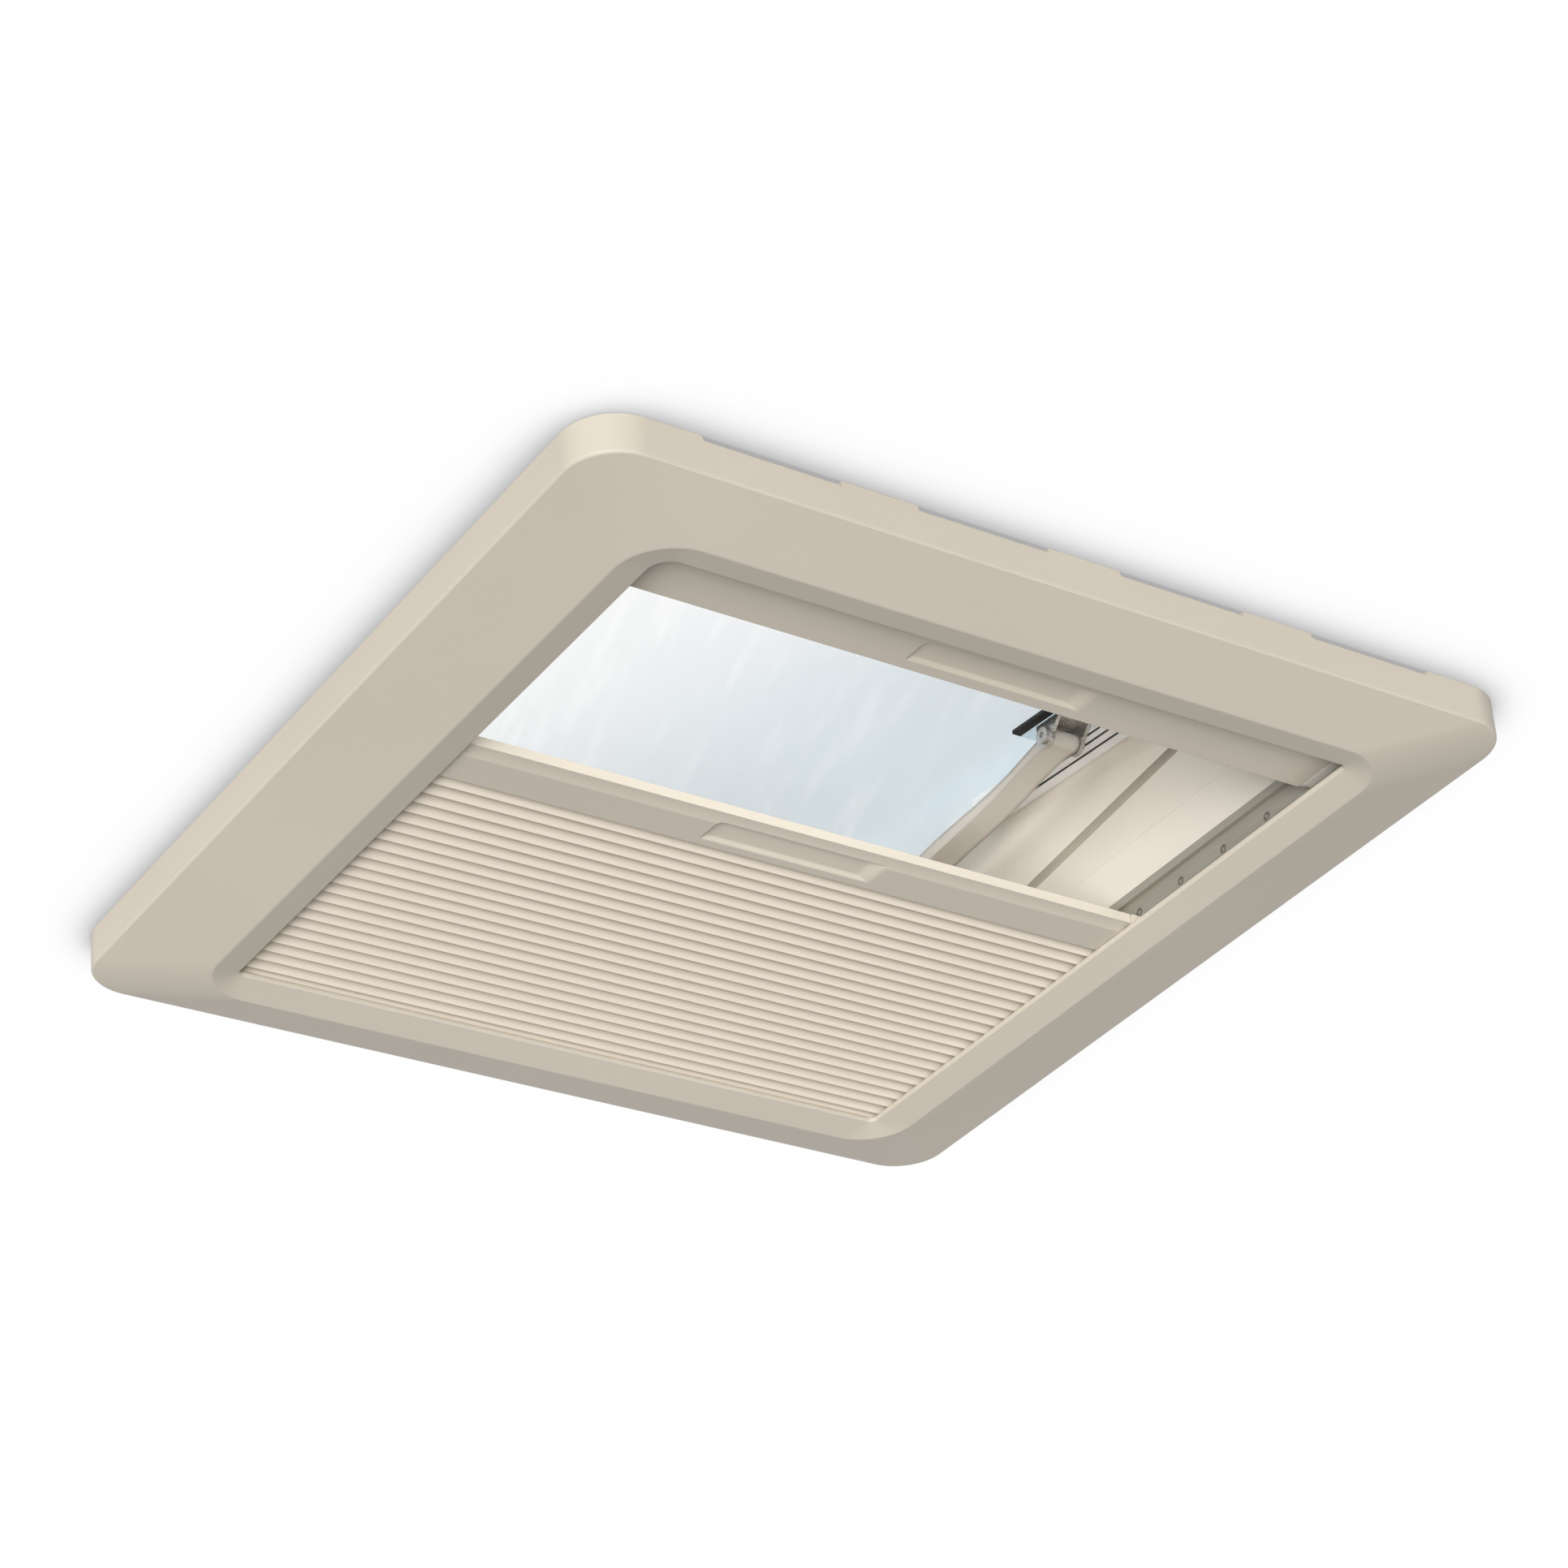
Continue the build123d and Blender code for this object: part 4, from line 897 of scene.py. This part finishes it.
pleatSets = {
    "blind_pleats": {
        "name": "blindCloth", "body": "blind", "spread": blindSpread, "fixed": 1,
        "rail": "end_rail_rear",
        "sizes": {"Pleats": 28, "Low": -21.1 * mm, "Rise": 3.6 * mm, "Stack": 0.115},
    },
    "screen_pleats": {
        "name": "screenNet", "body": "screen", "spread": screenSpread, "fixed": -1,
        "rail": "end_rail_front",
        "sizes": {"Pleats": 31, "Low": -14.9 * mm, "Rise": 6.2 * mm, "Stack": 0.0},
    },
}
for nodeName, look in pleatSets.items():
    low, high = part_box(nodeName)
    barSide, fixed = (low.y, high.y) if look["fixed"] > 0 else (high.y, low.y)
    width = high.x - low.x - 2 * pleat["trim"]
    cloth = pleatTree(look["name"] + "Tree", look["spread"]).grow(look["name"], dict(
        look["sizes"], Width=width, Start=barSide, End=fixed, Material=finishOf[nodeName],
    ))
    smoothTo(cloth.data, pleat["sharp"])
    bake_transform(cloth)
    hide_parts(nodeName)

# Stage: the ceiling that the roof light is fitted in, and a pale floor far below
stage = {
    "half": 6.0, "cutOut": 0.2, "floor": -2.4, "paint": (0.45, 0.45, 0.44, 1.0),
    "shadowReach": 0.075, "shadowSamples": 12, "shadowGain": 1.3, "shadowLoss": 0.15, "darkest": 0.42,
}


def stageMaterial(name, shadowed):
    # Grey board for the object's light; the camera sees it white, with a painted shadow that greys it
    # close to the object
    material = bpy.data.materials.new(name)
    material.use_nodes = True
    graph = Graph(material.node_tree)
    material.node_tree.nodes.clear()
    board = graph.node("ShaderNodeBsdfDiffuse", {}, {"Color": stage["paint"]})
    rays = graph.node("ShaderNodeLightPath")
    seen = graph.maths("MAXIMUM", rays.also("Is Camera Ray"), rays.also("Is Glossy Ray"))
    strength = 1.0
    if shadowed:
        # Painted shadow: the glow dims with ambient occlusion near the object, down to the darkest value
        near = graph.node(
            "ShaderNodeAmbientOcclusion", {"samples": stage["shadowSamples"]},
            {"Distance": stage["shadowReach"]}, out="AO",
        )
        soft = graph.maths("MINIMUM", near * stage["shadowGain"] - stage["shadowLoss"], 1.0)
        strength = graph.maths("MAXIMUM", soft, stage["darkest"])
    glow = graph.node("ShaderNodeEmission", {}, {"Strength": strength})
    lit = graph.node("ShaderNodeMixShader", {}, {0: seen, 1: board, 2: glow})
    clear = graph.node("ShaderNodeBsdfTransparent")
    behind = graph.node("ShaderNodeNewGeometry", out="Backfacing")
    oneSided = graph.node("ShaderNodeMixShader", {}, {0: behind, 1: lit, 2: clear})
    graph.node("ShaderNodeOutputMaterial", {}, {"Surface": oneSided})
    return material


def squareAt(half, height):
    return [(half * x, half * y, height) for x, y in ((-1, -1), (1, -1), (1, 1), (-1, 1))]


def makeStage():
    # The ceiling faces down and has the roof's cut-out in it; the floor faces up
    board = meshOf(
        "ceiling", squareAt(stage["half"], 0) + squareAt(stage["cutOut"], 0),
        [(i, i + 4, (i + 1) % 4 + 4, (i + 1) % 4) for i in range(4)],
    )
    if board.polygons[0].normal.z > 0:
        board.flip_normals()
    ceiling = newObject("ceiling", board, stageMaterial("ceilingPaint", True))
    ground = meshOf("floor", squareAt(stage["half"], stage["floor"]), [(0, 1, 2, 3)])
    floor = newObject("floor", ground, stageMaterial("floorPaint", False))
    floor.visible_shadow = False
    floor.visible_diffuse = False


makeStage()

# World: plain ambient light; rays that look at it see white
studio = {"ambient": 0.29, "colour": (1.0, 1.0, 1.0, 1.0)}
lamps = {
    "windowLight": {"from": (-1.0, -1.02, -0.65), "strength": 3.05, "spread": 30.0},
    "dayLight": {"from": (-0.05, -0.75, 0.66), "strength": 2.8, "spread": 40.0},
    "domeLight": {"from": (-1.0, -0.5, 0.15), "strength": 1.0, "spread": 40.0},
}


def makeWorld():
    world = bpy.data.worlds.new("studio")
    bpy.context.scene.world = world
    world.use_nodes = True
    world.node_tree.nodes.clear()
    sky = Graph(world.node_tree)
    rays = sky.node("ShaderNodeLightPath")
    looking = rays.also("Is Camera Ray")
    for rayKind in ("Is Glossy Ray", "Is Transmission Ray"):
        looking = sky.maths("MAXIMUM", looking, rays.also(rayKind))
    strength = looking * (1 - studio["ambient"]) + studio["ambient"]
    background = sky.node("ShaderNodeBackground", {}, {"Color": studio["colour"], "Strength": strength})
    sky.node("ShaderNodeOutputWorld", {}, {"Surface": background})


makeWorld()
for lampName, look in lamps.items():
    lamp = bpy.data.lights.new(lampName, "SUN")
    lamp.energy = look["strength"]
    lamp.angle = math.radians(look["spread"])
    shining = bpy.data.objects.new(lampName, lamp)
    shining.rotation_mode = "QUATERNION"
    shining.rotation_quaternion = Vector(look["from"]).to_track_quat("Z", "Y")
    bpy.context.scene.collection.objects.link(shining)

# Camera at the photograph's place
photoCamera = {
    "place": (-0.9273, -1.3139, -0.9663), "aim": (-0.0171, -0.0339, 0.0), "roll": -4.88,
    "lens": 93.73, "sensor": 36.0, "near": 0.05, "far": 60.0,
}
camera = bpy.data.cameras.new("photoCamera")
camera.lens = photoCamera["lens"]
camera.sensor_width = photoCamera["sensor"]
camera.clip_start = photoCamera["near"]
camera.clip_end = photoCamera["far"]
viewer = bpy.data.objects.new("photoCamera", camera)
bpy.context.scene.collection.objects.link(viewer)
looking = Vector(photoCamera["aim"]) - Vector(photoCamera["place"])
level = looking.to_track_quat("-Z", "Y").to_matrix().to_4x4()
rolled = level @ Matrix.Rotation(math.radians(photoCamera["roll"]), 4, "Z")
viewer.matrix_world = Matrix.Translation(photoCamera["place"]) @ rolled
bpy.context.scene.camera = viewer
bpy.context.scene.view_settings.view_transform = "Standard"
print("stage, lamps and camera set")
